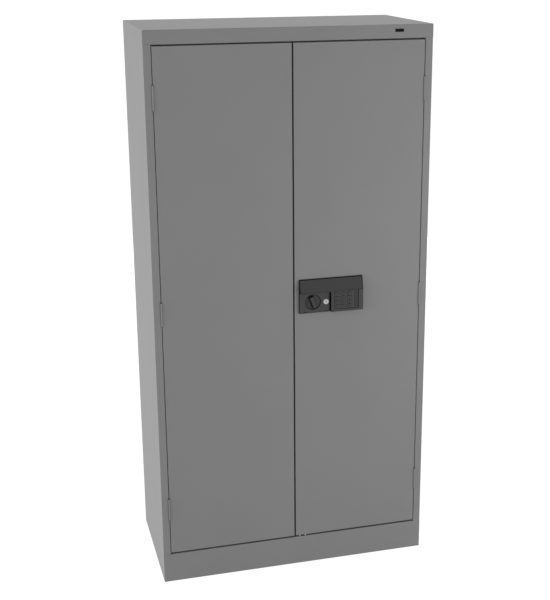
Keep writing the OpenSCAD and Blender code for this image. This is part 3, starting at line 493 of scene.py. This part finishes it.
# ---- Shelves and floor shelf ----
# Pans of the same sheet with their edges turned down and in, sprayed a shade lighter. The floor
# shelf is notched round the uprights.
shelf_paint = powder_coat("powder_coated_shelf", "#888888", "#828282")
rim_w, rim_h = 12 * mm, 10 * mm
for level in range(1, 5):
    low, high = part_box(f"shelf_{level}")
    mouth_low = Vector((low.x + rim_w, low.y + rim_w, low.z - sheet))
    mouth_high = Vector((high.x - rim_w, high.y - rim_w, low.z + rim_h))
    shelf = pan(f"shelf_{level}_sheet", low, high, mouth_low, mouth_high, shelf_paint)
    soften(shelf)
    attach(shelf, "cabinet")
    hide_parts(f"shelf_{level}")
dress(shelf_paint, "bottom_shelf")


# ---- Uprights and shelf clips ----
# Roll-formed galvanised channels with a slot every 50.8 mm, and stamped clips that hook into
# them. The zinc's spangle is 6 to 12 mm across, each crystal a slightly different grey.
def zinc_plate(name, code, other_code, crystal_m):
    """Zinc on steel: bare metal in small flat crystals, hazed by the air."""
    material, place = new_material(name)
    crystal = add_node(material, "ShaderNodeTexVoronoi", {"Scale": 1 / crystal_m},
                       {"Vector": place})
    haze = add_node(material, "ShaderNodeTexNoise", {"Scale": 1 / (crystal_m / 3), "Detail": 3},
                    {"Vector": place})
    grey = add_node(material, "ShaderNodeSeparateColor", {}, {"Color": crystal.outputs["Color"]})
    tone = add_node(material, "ShaderNodeMix",
                    {"data_type": "RGBA", 6: linear(code), 7: linear(other_code)},
                    {0: grey.outputs[0]})
    satin = add_node(material, "ShaderNodeMapRange", {"To Min": 0.26, "To Max": 0.42},
                     {"Value": haze.outputs["Fac"]})
    relief = add_node(material, "ShaderNodeBump", {"Strength": 0.1, "Distance": 0.03 * mm},
                      {"Height": haze.outputs["Fac"]})
    return finish_material(material, add_node(
        material, "ShaderNodeBsdfPrincipled", {"Metallic": 1.0},
        {"Base Color": tone.outputs[2], "Roughness": satin.outputs[0], "Normal": relief.outputs[0]}))


galvanised_steel = zinc_plate("galvanised_steel", "#b4b8bc", "#9fa4a9", 9 * mm)
bright_zinc = zinc_plate("bright_zinc_plate", "#c6cacf", "#b9bec4", 1.5 * mm)
dress(galvanised_steel, "slotted_uprights")
dress(bright_zinc, "shelf_clips", "left_door_strike", "lower_rod_guide", "lock_backplate",
      "lock_fasteners", "spindle", "lock_cam", "centre_bolt")

# ---- Rods, guides and bumpers ----
# Two 8 mm black rods lock the right door at top and bottom; they slide in white acetal blocks,
# and rubber discs on the stop flanges cushion both doors.
acetal, place = new_material("moulded_acetal")
cloud_m = 3 * mm
cloud = add_node(acetal, "ShaderNodeTexNoise", {"Scale": 1 / cloud_m, "Detail": 2},
                 {"Vector": place})
milk = add_node(acetal, "ShaderNodeMix",
                {"data_type": "RGBA", 6: linear("#dcdcd7"), 7: linear("#d2d2cc")},
                {0: cloud.outputs["Fac"]})
skin = add_node(acetal, "ShaderNodeBump", {"Strength": 0.1, "Distance": 0.02 * mm},
                {"Height": cloud.outputs["Fac"]})
# Acetal is waxy: smooth enough to gleam softly, with a touch of depth to its white.
finish_material(acetal, add_node(
    acetal, "ShaderNodeBsdfPrincipled", {"Roughness": 0.38, "IOR": 1.48},
    {"Base Color": milk.outputs[2], "Normal": skin.outputs[0]}))

nitrile_rubber, place = new_material("moulded_nitrile_rubber")
grit_m = 0.8 * mm
grit = add_node(nitrile_rubber, "ShaderNodeTexNoise", {"Scale": 1 / grit_m, "Detail": 3},
                {"Vector": place})
bloom = add_node(nitrile_rubber, "ShaderNodeMix",
                 {"data_type": "RGBA", 6: linear("#1b1b1c"), 7: linear("#262627")},
                 {0: grit.outputs["Fac"]})
pores = add_node(nitrile_rubber, "ShaderNodeBump", {"Strength": 0.3, "Distance": 0.05 * mm},
                 {"Height": grit.outputs["Fac"]})
# Rubber is matte, with a grey bloom where it has been handled.
finish_material(nitrile_rubber, add_node(
    nitrile_rubber, "ShaderNodeBsdfPrincipled", {"Roughness": 0.78, "IOR": 1.5},
    {"Base Color": bloom.outputs[2], "Normal": pores.outputs[0]}))
dress(black_oxide_steel, "upper_rod", "lower_rod")
dress(acetal, "rod_guides")
dress(nitrile_rubber, "door_bumpers")


# ---- Badge ----
# A small blank plate of satin black acrylic with rounded corners, stuck to the header near its
# right end. Its rim is bevelled.
def rounded(x0, z0, x1, z1, r, steps=6):
    """a rectangle with round corners, counter-clockwise"""
    corners = ((x1 - r, z0 + r, -90), (x1 - r, z1 - r, 0),
               (x0 + r, z1 - r, 90), (x0 + r, z0 + r, 180))
    points = []
    for x, z, start in corners:
        for k in range(steps + 1):
            turn = math.radians(start + 90 * k / steps)
            points.append((x + r * math.cos(turn), z + r * math.sin(turn)))
    return points


satin_acrylic, place = new_material("satin_black_acrylic")
ripple_m = 6 * mm
ripple = add_node(satin_acrylic, "ShaderNodeTexNoise", {"Scale": 1 / ripple_m, "Detail": 1},
                  {"Vector": place})
deep = add_node(satin_acrylic, "ShaderNodeMix",
                {"data_type": "RGBA", 6: linear("#060606"), 7: linear("#0b0b0b")},
                {0: ripple.outputs["Fac"]})
wave = add_node(satin_acrylic, "ShaderNodeBump", {"Strength": 0.05, "Distance": 0.02 * mm},
                {"Height": ripple.outputs["Fac"]})
# Its face is rubbed down to a satin, so the room hardly shows over a deep black.
finish_material(satin_acrylic, add_node(
    satin_acrylic, "ShaderNodeBsdfPrincipled",
    {"Roughness": 0.5, "IOR": 1.49, "Specular IOR Level": 0.1},
    {"Base Color": deep.outputs[2], "Normal": wave.outputs[0]}))
badge_low, badge_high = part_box("nameplate")
badge_corner = 2 * mm
bm = bmesh.new()
outline = rounded(badge_low.x, badge_low.z, badge_high.x, badge_high.z, badge_corner)
run(bm, outline, "Y", badge_low.y, badge_high.y)
badge = piece("blank_badge", bm, satin_acrylic)
soften(badge, radius=0.3 * mm, sharp=60)
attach(badge, "cabinet")
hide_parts("nameplate")


# ---- Lock housing ----
# The case of the electronic lock is moulded ABS with a fine spark-eroded texture: a
# low front round the knob, a thicker keypad side, and a hood over both that slopes to the door.
# Its front faces are charcoal; every wall, and every face set back in a recess, is painted
# near-black as painted shade.
def moulded_abs(name, code, other_code, rough_low, rough_high, grain_m=0.7 * mm, shine=0.3):
    """Moulded ABS. The tool's spark-eroded grain is 0.1 mm; it is drawn coarser so that it shows,
    and breaks the plastic's sheen into a fine even haze."""
    material, place = new_material(name)
    grain = add_node(material, "ShaderNodeTexNoise", {"Scale": 1 / grain_m, "Detail": 3},
                     {"Vector": place})
    tone = add_node(material, "ShaderNodeMix",
                    {"data_type": "RGBA", 6: linear(code), 7: linear(other_code)},
                    {0: grain.outputs["Fac"]})
    haze = add_node(material, "ShaderNodeMapRange", {"To Min": rough_low, "To Max": rough_high},
                    {"Value": grain.outputs["Fac"]})
    relief = add_node(material, "ShaderNodeBump", {"Strength": 0.25, "Distance": 0.05 * mm},
                      {"Height": grain.outputs["Fac"]})
    return finish_material(material, add_node(
        material, "ShaderNodeBsdfPrincipled", {"IOR": 1.54, "Specular IOR Level": shine},
        {"Base Color": tone.outputs[2], "Roughness": haze.outputs[0], "Normal": relief.outputs[0]}))


def charcoal_fronts_over_painted_shade(made, charcoal, shade_beyond):
    """charcoal on faces that look straight out and lie no further back than a depth; walls and deeper
    faces keep their near-black, painted shade
    """
    straight_out = -0.99
    made.data.materials.append(charcoal)
    for face in made.data.polygons:
        if face.normal.y < straight_out and face.center.y < shade_beyond:
            face.material_index = 1


# Near-black: the battery holder's own black, and painted shade on the lock's walls and recess floors.
black_abs_and_painted_shade = moulded_abs("black_abs_and_painted_wall_shade", "#080808", "#0c0c0c", 0.58, 0.72, shine=0.12)
charcoal_abs = moulded_abs("charcoal_abs", "#303030", "#353535", 0.46, 0.60)
charcoal_front_abs = moulded_abs("lock_front_charcoal_abs", "#383838", "#3d3d3d", 0.46, 0.60)
lock_low, lock_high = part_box("lock_housing")
knob_side_out, groove_out, keypad_out, top_out = 8 * mm, 4 * mm, 16 * mm, 4 * mm
knob_side_w, groove_w, front_h, lip_h = 104.5 * mm, 1.8 * mm, 70.6 * mm, 2.6 * mm
lock_wall, draft_in, spare = 2.5 * mm, 1.1 * mm, 5 * mm
keypad_hollow, knob_hollow = 5.5 * mm, 3 * mm
panel_x1 = lock_low.x + knob_side_w
module_x0 = panel_x1 + groove_w
flat_top = lock_low.z + front_h
lip_z = flat_top - lip_h
hood_fall, hood_rise = keypad_out - top_out, lock_high.z - flat_top
shell_x0 = lock_low.x + draft_in
bm = bmesh.new()
run(bm, [(front, lock_low.z), (front - keypad_out, lock_low.z), (front - keypad_out, flat_top),
         (front - top_out, lock_high.z), (front, lock_high.z)], "X", shell_x0, lock_high.x)
housing = piece("lock_housing_shell", bm, black_abs_and_painted_shade)
# The knob's side is cut back from the keypad's, and the groove between them further still.
for start, end, out in ((lock_low.x - sheet, panel_x1, knob_side_out),
                        (panel_x1 - sheet, module_x0, groove_out)):
    bm = bmesh.new()
    box(bm, (start, front - keypad_out - spare, lock_low.z - spare), (end, front - out, lip_z))
    carve(housing, bm)
soften(housing, radius=0.7 * mm, steps=3)
# It is hollow behind, where it lies on the door.
bm = bmesh.new()
for start, end, depth in ((module_x0, lock_high.x, keypad_hollow), (lock_low.x, panel_x1, knob_hollow)):
    box(bm, (start + lock_wall, front - depth, lock_low.z + lock_wall),
        (end - lock_wall, front + sheet, flat_top))
carve(housing, bm)

# ---- Hood plate ----
# A plain charcoal plate lies flush in the hood's slope, with a hairline gap all round.
hood_margin, hood_foot, hood_plate_t = 2.5 * mm, 0.8 * mm, 1.2 * mm
hood_corner, hairline = 1.5 * mm, 0.25 * mm
hood_len = math.hypot(hood_fall, hood_rise)
onto_slope = (Matrix.Translation((0, front - keypad_out, flat_top))
              @ Matrix.Rotation(-math.atan2(hood_fall, hood_rise), 4, "X"))


def hood_block(gap):
    """the plate, or with a gap round it the seat that it lies in"""
    bm = bmesh.new()
    low_x, high_x = shell_x0 + hood_margin - gap, lock_high.x - hood_margin + gap
    outline = rounded(low_x, hood_foot - gap, high_x, hood_len - hood_margin + gap, hood_corner)
    run(bm, outline, "Y", -2 * gap, hood_plate_t + gap)
    bmesh.ops.transform(bm, matrix=onto_slope, verts=bm.verts)
    return bm


carve(housing, hood_block(hairline))
hood_plate = piece("hood_plate_moulding", hood_block(0), charcoal_abs)
soften(hood_plate, radius=0.3 * mm, sharp=60)
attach(hood_plate, "right_door")
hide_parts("hood_plate")

# ---- Knob plate ----
# A charcoal plate with a round opening over the dish that the knob turns in, and a hole for the
# key cylinder. It clips into the housing's low front and is prised out at two notches below.
plate_low, plate_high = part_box("knob_plate")
key_low, key_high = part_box("key_cylinder")
key_x, key_z = (key_low.x + key_high.x) / 2, (key_low.z + key_high.z) / 2
dish_r, dish_floor_out, key_body_r, spindle_way = 26 * mm, 4.3 * mm, 8 * mm, 4.5 * mm
prise_w, prise_h, prise_out, prise_in = 6 * mm, 4.6 * mm, 5 * mm, (20 * mm, 90.5 * mm)
plate_corner, seat_corner, seat_gap = 1 * mm, 1.2 * mm, 0.2 * mm
bm = bmesh.new()
seat = rounded(plate_low.x - seat_gap, plate_low.z - seat_gap,
               plate_high.x + seat_gap, plate_high.z + seat_gap, seat_corner)
run(bm, seat, "Y", plate_low.y - sheet, plate_high.y)
carve(housing, bm)
bm = bmesh.new()
for x, z, r in ((knob_x, knob_z, spindle_way), (key_x, key_z, key_body_r)):
    run(bm, circle(x, z, r), "Y", front - keypad_out, front + sheet)
carve(housing, bm)


def prise(made):
    """cuts the two notches in the lower edge"""
    bm = bmesh.new()
    for x in prise_in:
        box(bm, (lock_low.x + x - prise_w / 2, front - knob_side_out - sheet, lock_low.z - sheet),
            (lock_low.x + x + prise_w / 2, front - prise_out, lock_low.z + prise_h))
    carve(made, bm)


bm = bmesh.new()
run(bm, circle(knob_x, knob_z, dish_r, steps=96), "Y", front - keypad_out, front - dish_floor_out)
carve(housing, bm)
prise(housing)
bm = bmesh.new()
outline = rounded(plate_low.x, plate_low.z, plate_high.x, plate_high.z, plate_corner)
run(bm, outline, "Y", plate_low.y, plate_high.y)
knob_plate = piece("knob_plate_moulding", bm, black_abs_and_painted_shade)
bm = bmesh.new()
run(bm, circle(knob_x, knob_z, dish_r, steps=96), "Y", plate_low.y - sheet, plate_high.y + sheet)
run(bm, circle(key_x, key_z, key_body_r), "Y", plate_low.y - sheet, plate_high.y + sheet)
carve(knob_plate, bm)
prise(knob_plate)
soften(knob_plate, radius=0.3 * mm, sharp=50)
# Its fronts turn charcoal; its edges and the walls of its openings stay near-black as painted shade.
charcoal_fronts_over_painted_shade(knob_plate, charcoal_front_abs, front)
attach(knob_plate, "right_door")
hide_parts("knob_plate")

# ---- Knob ----
# A moulded ABS knob pressed on the spindle: a round base sunk in the dish, and a bar across it as a
# grip, drafted so that it leaves the mould. Its charcoal face leans to the left at rest; its walls
# are near-black, which is painted shade.
knob_abs = moulded_abs("knob_abs", "#303030", "#353535", 0.42, 0.54)
knob_low, knob_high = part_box("knob")
knob_r = (knob_high.x - knob_low.x) / 2
base_out, grip_w, grip_r, grip_draft, grip_sunk = 6.1 * mm, 18 * mm, 22 * mm, 2 * mm, 0.5 * mm
grip_lean = math.radians(22)
bm = bmesh.new()
run(bm, circle(knob_x, knob_z, knob_r, steps=96), "Y", front - base_out, knob_high.y)
knob_base = piece("knob_base", bm, black_abs_and_painted_shade)
soften(knob_base, radius=0.4 * mm, sharp=50)


def grip_ring(bm, draft, y, steps=12):
    """the bar's outline at a depth: two arcs of the knob's circle with the straight sides between"""
    radius = grip_r - draft
    half = math.asin((grip_w / 2 - draft) / radius)
    ring = []
    for end in (math.pi / 2, -math.pi / 2):
        for k in range(steps + 1):
            turn = end + grip_lean - half + 2 * half * k / steps
            x, z = knob_x + radius * math.cos(turn), knob_z + radius * math.sin(turn)
            ring.append(bm.verts.new((x, y, z)))
    return ring


bm = bmesh.new()
face_ring = grip_ring(bm, grip_draft, knob_low.y)
foot_ring = grip_ring(bm, 0, front - base_out + grip_sunk)
bm.faces.new(face_ring)
bm.faces.new(foot_ring)
for i in range(len(face_ring)):
    bm.faces.new((face_ring[i - 1], face_ring[i], foot_ring[i], foot_ring[i - 1]))
knob_grip = piece("knob_grip", bm, black_abs_and_painted_shade)
soften(knob_grip, radius=0.7 * mm, steps=3, sharp=50)
for part in (knob_base, knob_grip):
    # Charcoal faces; the walls stay near-black as painted shade.
    charcoal_fronts_over_painted_shade(part, knob_abs, front)
    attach(part, "knob")
    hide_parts("knob")


# ---- Key cylinder ----
# A turned brass cylinder, chrome plated, whose flange shows round the plug. The plug turns with
# the key and has a slot for it in its face, upright at rest.
def turned(bm, profile, x, z, steps=64):
    """a profile of radius and Y turned about an axis along Y"""
    rings = [[bm.verts.new((at_x, y, at_z)) for at_x, at_z in circle(x, z, r, steps)]
             for r, y in profile]
    for i, ring in enumerate(rings):
        last = rings[i - 1]
        for k in range(steps):
            bm.faces.new((last[k - 1], last[k], ring[k], ring[k - 1]))


polished_chrome, place = new_material("polished_chrome")
smear_m = 2.5 * mm
smear = add_node(polished_chrome, "ShaderNodeTexNoise", {"Scale": 1 / smear_m, "Detail": 2},
                 {"Vector": place})
tint = add_node(polished_chrome, "ShaderNodeMix",
                {"data_type": "RGBA", 6: linear("#b6b7b9"), 7: linear("#a9aaac")},
                {0: smear.outputs["Fac"]})
gleam = add_node(polished_chrome, "ShaderNodeMapRange", {"To Min": 0.26, "To Max": 0.38},
                 {"Value": smear.outputs["Fac"]})
# Chrome on turned brass: bright and cool, blurred slightly by handling.
finish_material(polished_chrome, add_node(
    polished_chrome, "ShaderNodeBsdfPrincipled", {"Metallic": 1.0},
    {"Base Color": tint.outputs[2], "Roughness": gleam.outputs[0]}))
flange_r, flange_t = (key_high.x - key_low.x) / 2, 2 * mm
bore_r, bore_slope, rim_slope = 6.05 * mm, (0.4 * mm, 0.3 * mm), 0.8 * mm
face_y, seat_y, tail_y = key_low.y, key_low.y + flange_t, key_high.y
profile = [(bore_r, tail_y), (bore_r, face_y + bore_slope[1]), (bore_r + bore_slope[0], face_y),
           (flange_r - rim_slope, face_y), (flange_r, face_y + rim_slope), (flange_r, seat_y),
           (key_body_r, seat_y), (key_body_r, tail_y)]
bm = bmesh.new()
turned(bm, profile, key_x, key_z)
cylinder = piece("key_cylinder_turned", bm, polished_chrome)
soften(cylinder)
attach(cylinder, "right_door")
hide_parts("key_cylinder")

plug_low, plug_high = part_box("key_plug")
plug_r, plug_in, tongue_half, tongue_fall = 6 * mm, 14.5 * mm, 1.5 * mm, 4 * mm
half_w, half_h, slot_corner, slot_deep = 1.8 * mm / 2, 7.6 * mm / 2, 0.4 * mm, 6 * mm
ward_w, ward_fall, ward_rise = 1.6 * mm, 0.5 * mm, 1.2 * mm
plug_end_y = front + plug_in
bm = bmesh.new()
run(bm, circle(key_x, key_z, plug_r, steps=64), "Y", plug_low.y, plug_end_y)
box(bm, (key_x - tongue_half, plug_end_y, key_z - tongue_fall),
    (key_x + tongue_half, plug_high.y, plug_high.z))
plug = piece("key_plug_turned", bm, polished_chrome)
bm = bmesh.new()
key_slot = rounded(key_x - half_w, key_z - half_h, key_x + half_w, key_z + half_h, slot_corner)
run(bm, key_slot, "Y", plug_low.y - sheet, plug_low.y + slot_deep)
box(bm, (key_x, plug_low.y - sheet, key_z - ward_fall),
    (key_x + ward_w, plug_low.y + slot_deep, key_z + ward_rise))
carve(plug, bm)
soften(plug, radius=0.3 * mm, sharp=50)
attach(plug, "key_plug")
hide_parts("key_plug")

# ---- Keypad bezel ----
# A charcoal frame with twelve windows for the keys and a tall one for the light strip, sunk in
# the housing with a narrow gap round it that reads as a dark line.
bezel_low, bezel_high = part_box("keypad_bezel")
strip_low, strip_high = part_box("indicator_strip")
bezel_t, bezel_corner = 1.9 * mm, 1.2 * mm
key_flange, window_gap, window_corner = 1 * mm, 0.4 * mm, 1.4 * mm
well_out, left_gap, right_gap, lower_gap, upper_gap = 8 * mm, 0.3 * mm, 1.4 * mm, 1.4 * mm, 0.4 * mm
strip_flange, strip_fall, strip_gap, strip_corner = 0.6 * mm, 0.3 * mm, 0.4 * mm, 1 * mm
# Faces set back more than this keep the near-black of painted shade in the recesses.
recess_shade_depth = 6 * mm
key_names = ["key_1", "key_2", "key_3", "key_4", "key_5", "key_6", "key_7", "key_8", "key_9",
             "key_star", "key_0", "key_hash"]
bm = bmesh.new()
box(bm, (bezel_low.x - left_gap, front - keypad_out - sheet, bezel_low.z - lower_gap),
    (bezel_high.x + right_gap, front - well_out, bezel_high.z + upper_gap))
carve(housing, bm)
soften(housing)
# Fronts turn charcoal; walls and recess floors stay near-black as painted shade.
charcoal_fronts_over_painted_shade(housing, charcoal_front_abs, front - recess_shade_depth)
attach(housing, "right_door")
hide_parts("lock_housing")

bm = bmesh.new()
outline = rounded(bezel_low.x, bezel_low.z, bezel_high.x, bezel_high.z, bezel_corner)
run(bm, outline, "Y", bezel_low.y, bezel_low.y + bezel_t)
bezel = piece("keypad_bezel_moulding", bm, black_abs_and_painted_shade)
windows = []
for name in key_names:
    low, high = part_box(name)
    inset = key_flange - window_gap
    windows.append(rounded(low.x + inset, low.z + inset, high.x - inset, high.z - inset, window_corner))
windows.append(rounded(strip_low.x, strip_low.z + strip_fall, strip_high.x - strip_gap,
                       strip_high.z - strip_gap, strip_corner))
bm = bmesh.new()
for window in windows:
    run(bm, window, "Y", bezel_low.y - sheet, bezel_low.y + bezel_t + sheet)
carve(bezel, bm)
soften(bezel, radius=0.2 * mm, sharp=50)
# Charcoal front; the edges and the window walls stay near-black as painted shade.
charcoal_fronts_over_painted_shade(bezel, charcoal_front_abs, front)
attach(bezel, "right_door")
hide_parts("keypad_bezel")

# ---- Keys ----
# Twelve moulded caps with a flange behind the bezel. The tops are printed with plain digits, a
# star and a hash in near-black ink.
key_abs = moulded_abs("key_cap_abs", "#383838", "#3c3c3c", 0.50, 0.62, grain_m=0.5 * mm)
ink, place = new_material("pad_printed_ink")
patch_m = 1 * mm
patch = add_node(ink, "ShaderNodeTexNoise", {"Scale": 1 / patch_m, "Detail": 2}, {"Vector": place})
black = add_node(ink, "ShaderNodeMix",
                 {"data_type": "RGBA", 6: linear("#080808"), 7: linear("#0d0d0d")},
                 {0: patch.outputs["Fac"]})
# Pad-printing ink dries flat and slightly uneven.
finish_material(ink, add_node(
    ink, "ShaderNodeBsdfPrincipled", {"Roughness": 0.6}, {"Base Color": black.outputs[2]}))
marks = "123456789*0#"
cap_t, cap_corner = 3.4 * mm, 1.2 * mm
mark_h, mark_t, mark_bold = 8 * mm, 0.06 * mm, 0.16 * mm
for name, mark in zip(key_names, marks):
    low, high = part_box(name)
    outline = rounded(low.x + key_flange, low.z + key_flange,
                      high.x - key_flange, high.z - key_flange, cap_corner)
    bm = bmesh.new()
    run(bm, outline, "Y", low.y + mark_t, low.y + cap_t)
    cap = piece(name + "_cap", bm, black_abs_and_painted_shade)
    soften(cap, radius=0.35 * mm, sharp=50)
    # Charcoal tops; the sides of the caps stay near-black as painted shade.
    charcoal_fronts_over_painted_shade(cap, key_abs, front)
    letter = bpy.data.curves.new("mark", "FONT")
    letter.body, letter.size, letter.extrude, letter.offset = mark, mark_h, mark_t / 2, mark_bold
    letter.align_x, letter.align_y = "CENTER", "CENTER"
    made = bpy.data.objects.new("mark", letter)
    bpy.context.scene.collection.objects.link(made)
    graph = bpy.context.evaluated_depsgraph_get()
    mesh = bpy.data.meshes.new_from_object(made.evaluated_get(graph))
    bpy.data.objects.remove(made)
    centre = Vector(((low.x + high.x) / 2, low.y + mark_t / 2, (low.z + high.z) / 2))
    spread = [v.co for v in mesh.vertices]
    middle = Vector([(min(c[i] for c in spread) + max(c[i] for c in spread)) / 2 for i in range(3)])
    mesh.transform(Matrix.Translation(centre) @ Matrix.Rotation(math.pi / 2, 4, "X")
                   @ Matrix.Translation(-middle))
    mesh.materials.clear()
    mesh.materials.append(ink)
    print_mark = bpy.data.objects.new(name + "_mark", mesh)
    bpy.context.scene.collection.objects.link(print_mark)
    for part in (cap, print_mark):
        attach(part, name)
        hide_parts(name)

# ---- Light strip and board ----
# A smoked acrylic strip hides the lock's status lights, and a green circuit board stands behind
# the keys.
smoked_acrylic, place = new_material("smoked_acrylic")
smoke_m = 5 * mm
smoke = add_node(smoked_acrylic, "ShaderNodeTexNoise", {"Scale": 1 / smoke_m, "Detail": 1},
                 {"Vector": place})
dusk = add_node(smoked_acrylic, "ShaderNodeMix",
                {"data_type": "RGBA", 6: linear("#2d2d2d"), 7: linear("#323232")},
                {0: smoke.outputs["Fac"]})
# Tinted dark all through, and glossy on top.
finish_material(smoked_acrylic, add_node(
    smoked_acrylic, "ShaderNodeBsdfPrincipled",
    {"Roughness": 0.22, "IOR": 1.49, "Specular IOR Level": 0.35},
    {"Base Color": dusk.outputs[2]}))
lens_t, lens_corner = 3 * mm, 0.8 * mm
outline = rounded(strip_low.x + strip_flange, strip_low.z + strip_flange,
                  strip_high.x - strip_flange, strip_high.z - strip_flange, lens_corner)
bm = bmesh.new()
run(bm, outline, "Y", strip_low.y, strip_low.y + lens_t)
strip = piece("light_strip_window", bm, smoked_acrylic)
soften(strip, radius=0.3 * mm, sharp=50)
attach(strip, "right_door")
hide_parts("indicator_strip")

solder_mask, place = new_material("green_solder_mask")
track_m = 6 * mm
track = add_node(solder_mask, "ShaderNodeTexBrick",
                 {"Scale": 1 / track_m, "Mortar Size": 0.06, "Color1": linear("#1d5537"),
                  "Color2": linear("#1f5a3a"), "Mortar": linear("#2c7a50")},
                 {"Vector": place})
# Solder mask over copper: the tracks show as a paler green under the lacquer.
finish_material(solder_mask, add_node(
    solder_mask, "ShaderNodeBsdfPrincipled", {"Roughness": 0.3},
    {"Base Color": track.outputs["Color"]}))
dress(solder_mask, "circuit_board")

# ---- Inner cover and the works under it ----
# A folded steel box on the inside of the door hides the battery tray, the cells and the solenoid.
# It is painted with the door.
cover_low, cover_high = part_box("lock_inner_cover")
cover_mouth, trim = 6 * mm, 10 * mm
mouth_low = Vector((cover_low.x + sheet, cover_low.y - sheet, cover_low.z + sheet))
mouth_high = Vector((cover_high.x - sheet, cover_low.y + cover_mouth, cover_high.z - sheet))
cover = pan("lock_inner_cover_sheet", cover_low - Vector((0, 2 * bend_r, 0)), cover_high,
            mouth_low, mouth_high, case_paint)
bm = bmesh.new()
box(bm, cover_low - Vector((sheet, trim, sheet)),
    (cover_high.x + sheet, cover_low.y, cover_high.z + sheet))
for z in (cover_low.z, cover_high.z):
    box(bm, (rod_x - rod_hole, cover_low.y - sheet, z - 2 * sheet),
        (rod_x + rod_hole, rod_y + rod_hole, z + 2 * sheet))
box(bm, (cover_low.x - sheet, bolt_slot_y[0], bolt_z - bolt_half),
    (cover_low.x + 2 * sheet, bolt_slot_y[1], bolt_z + bolt_half))
carve(cover, bm)
soften(cover)
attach(cover, "right_door")
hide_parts("lock_inner_cover")

cell_sleeve, place = new_material("cell_shrink_sleeve")
band_h = 14 * mm
split = add_node(cell_sleeve, "ShaderNodeSeparateXYZ", {}, {"Vector": place})
band = add_node(cell_sleeve, "ShaderNodeMath",
                {"operation": "GREATER_THAN", 1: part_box("batteries")[1].z - band_h},
                {0: split.outputs["Z"]})
sleeve = add_node(cell_sleeve, "ShaderNodeMix",
                  {"data_type": "RGBA", 6: linear("#2c2d30"), 7: linear("#9a6a3c")},
                  {0: band.outputs[0]})
# A printed shrink sleeve: dark body, copper-coloured band at the positive end.
finish_material(cell_sleeve, add_node(
    cell_sleeve, "ShaderNodeBsdfPrincipled", {"Roughness": 0.3, "Metallic": 0.3},
    {"Base Color": sleeve.outputs[2]}))
dress(cell_sleeve, "batteries")
dress(black_abs_and_painted_shade, "battery_holder")
coil_wrap = moulded_abs("coil_wrap", "#54585c", "#5c6064", 0.4, 0.5)
dress(coil_wrap, "solenoid")
dress(polished_chrome, "solenoid_plunger")

# ---- Floor, backdrop and light ----
# A plain pale studio: a broad soft lamp to the left, which the photograph's pale left side shows,
# a low one in front to the right, one behind for the back, and even light from all round.
def shown_to_eye(tree_owner):
    """1 for rays that see the background directly, in gloss or through glass"""
    path = add_node(tree_owner, "ShaderNodeLightPath", {})
    either = add_node(tree_owner, "ShaderNodeMath", {"operation": "MAXIMUM"},
                      {0: path.outputs["Is Camera Ray"], 1: path.outputs["Is Glossy Ray"]})
    return add_node(tree_owner, "ShaderNodeMath", {"operation": "MAXIMUM"},
                    {0: either.outputs[0], 1: path.outputs["Is Transmission Ray"]}).outputs[0]


world = bpy.data.worlds.new("studio")
bpy.context.scene.world = world
world.use_nodes = True
world.node_tree.nodes.clear()
room_light = 0.54
strength = add_node(world, "ShaderNodeMapRange", {"To Min": room_light, "To Max": 1.0},
                    {"Value": shown_to_eye(world)})
sky = add_node(world, "ShaderNodeBackground", {"Color": linear("#ffffff")},
               {"Strength": strength.outputs[0]})
add_node(world, "ShaderNodeOutputWorld", {}, {"Surface": sky.outputs[0]})

white_floor = new_material("white_studio_floor")[0]
bounce = add_node(white_floor, "ShaderNodeBsdfDiffuse", {"Color": linear("#e6e6e6")})
catcher = add_node(white_floor, "ShaderNodeBsdfDiffuse", {"Color": linear("#808080")})
glow = add_node(white_floor, "ShaderNodeEmission", {"Color": linear("#ffffff"), "Strength": 0.92})
lit = add_node(white_floor, "ShaderNodeAddShader", {}, {0: catcher.outputs[0], 1: glow.outputs[0]})
choice = add_node(white_floor, "ShaderNodeMixShader", {},
                  {0: shown_to_eye(white_floor), 1: bounce.outputs[0], 2: lit.outputs[0]})
add_node(white_floor, "ShaderNodeOutputMaterial", {}, {"Surface": choice.outputs[0]})
floor_half, floor_z = 60, -0.2 * mm
bm = bmesh.new()
corners = [bm.verts.new((floor_half * x, floor_half * y, floor_z))
           for x, y in ((-1, -1), (1, -1), (1, 1), (-1, 1))]
bm.faces.new(corners)
floor = piece("studio_floor", bm, white_floor)


def lamp(name, at, aim, width, height, power):
    """a soft box of a size in metres and a power in watts, turned to what it lights"""
    light = bpy.data.lights.new(name, "AREA")
    light.shape, light.size, light.size_y, light.energy = "RECTANGLE", width, height, power
    made = bpy.data.objects.new(name, light)
    made.location = at
    made.rotation_euler = (Vector(aim) - Vector(at)).to_track_quat("-Z", "Y").to_euler()
    bpy.context.scene.collection.objects.link(made)


lamp("left_softbox", at=(-4.2, -0.9, 0.9), aim=(-0.45, 0, 0.8), width=2.4, height=2.4, power=77)
lamp("front_softbox", at=(3.0, -3.0, 0.5), aim=(0, 0, 0.4), width=2.0, height=1.0, power=47)
lamp("rear_softbox", at=(1.2, 4.2, 0.8), aim=(0, 0, 0.8), width=2.4, height=1.6, power=60)

bpy.context.scene.view_settings.view_transform = "Standard"
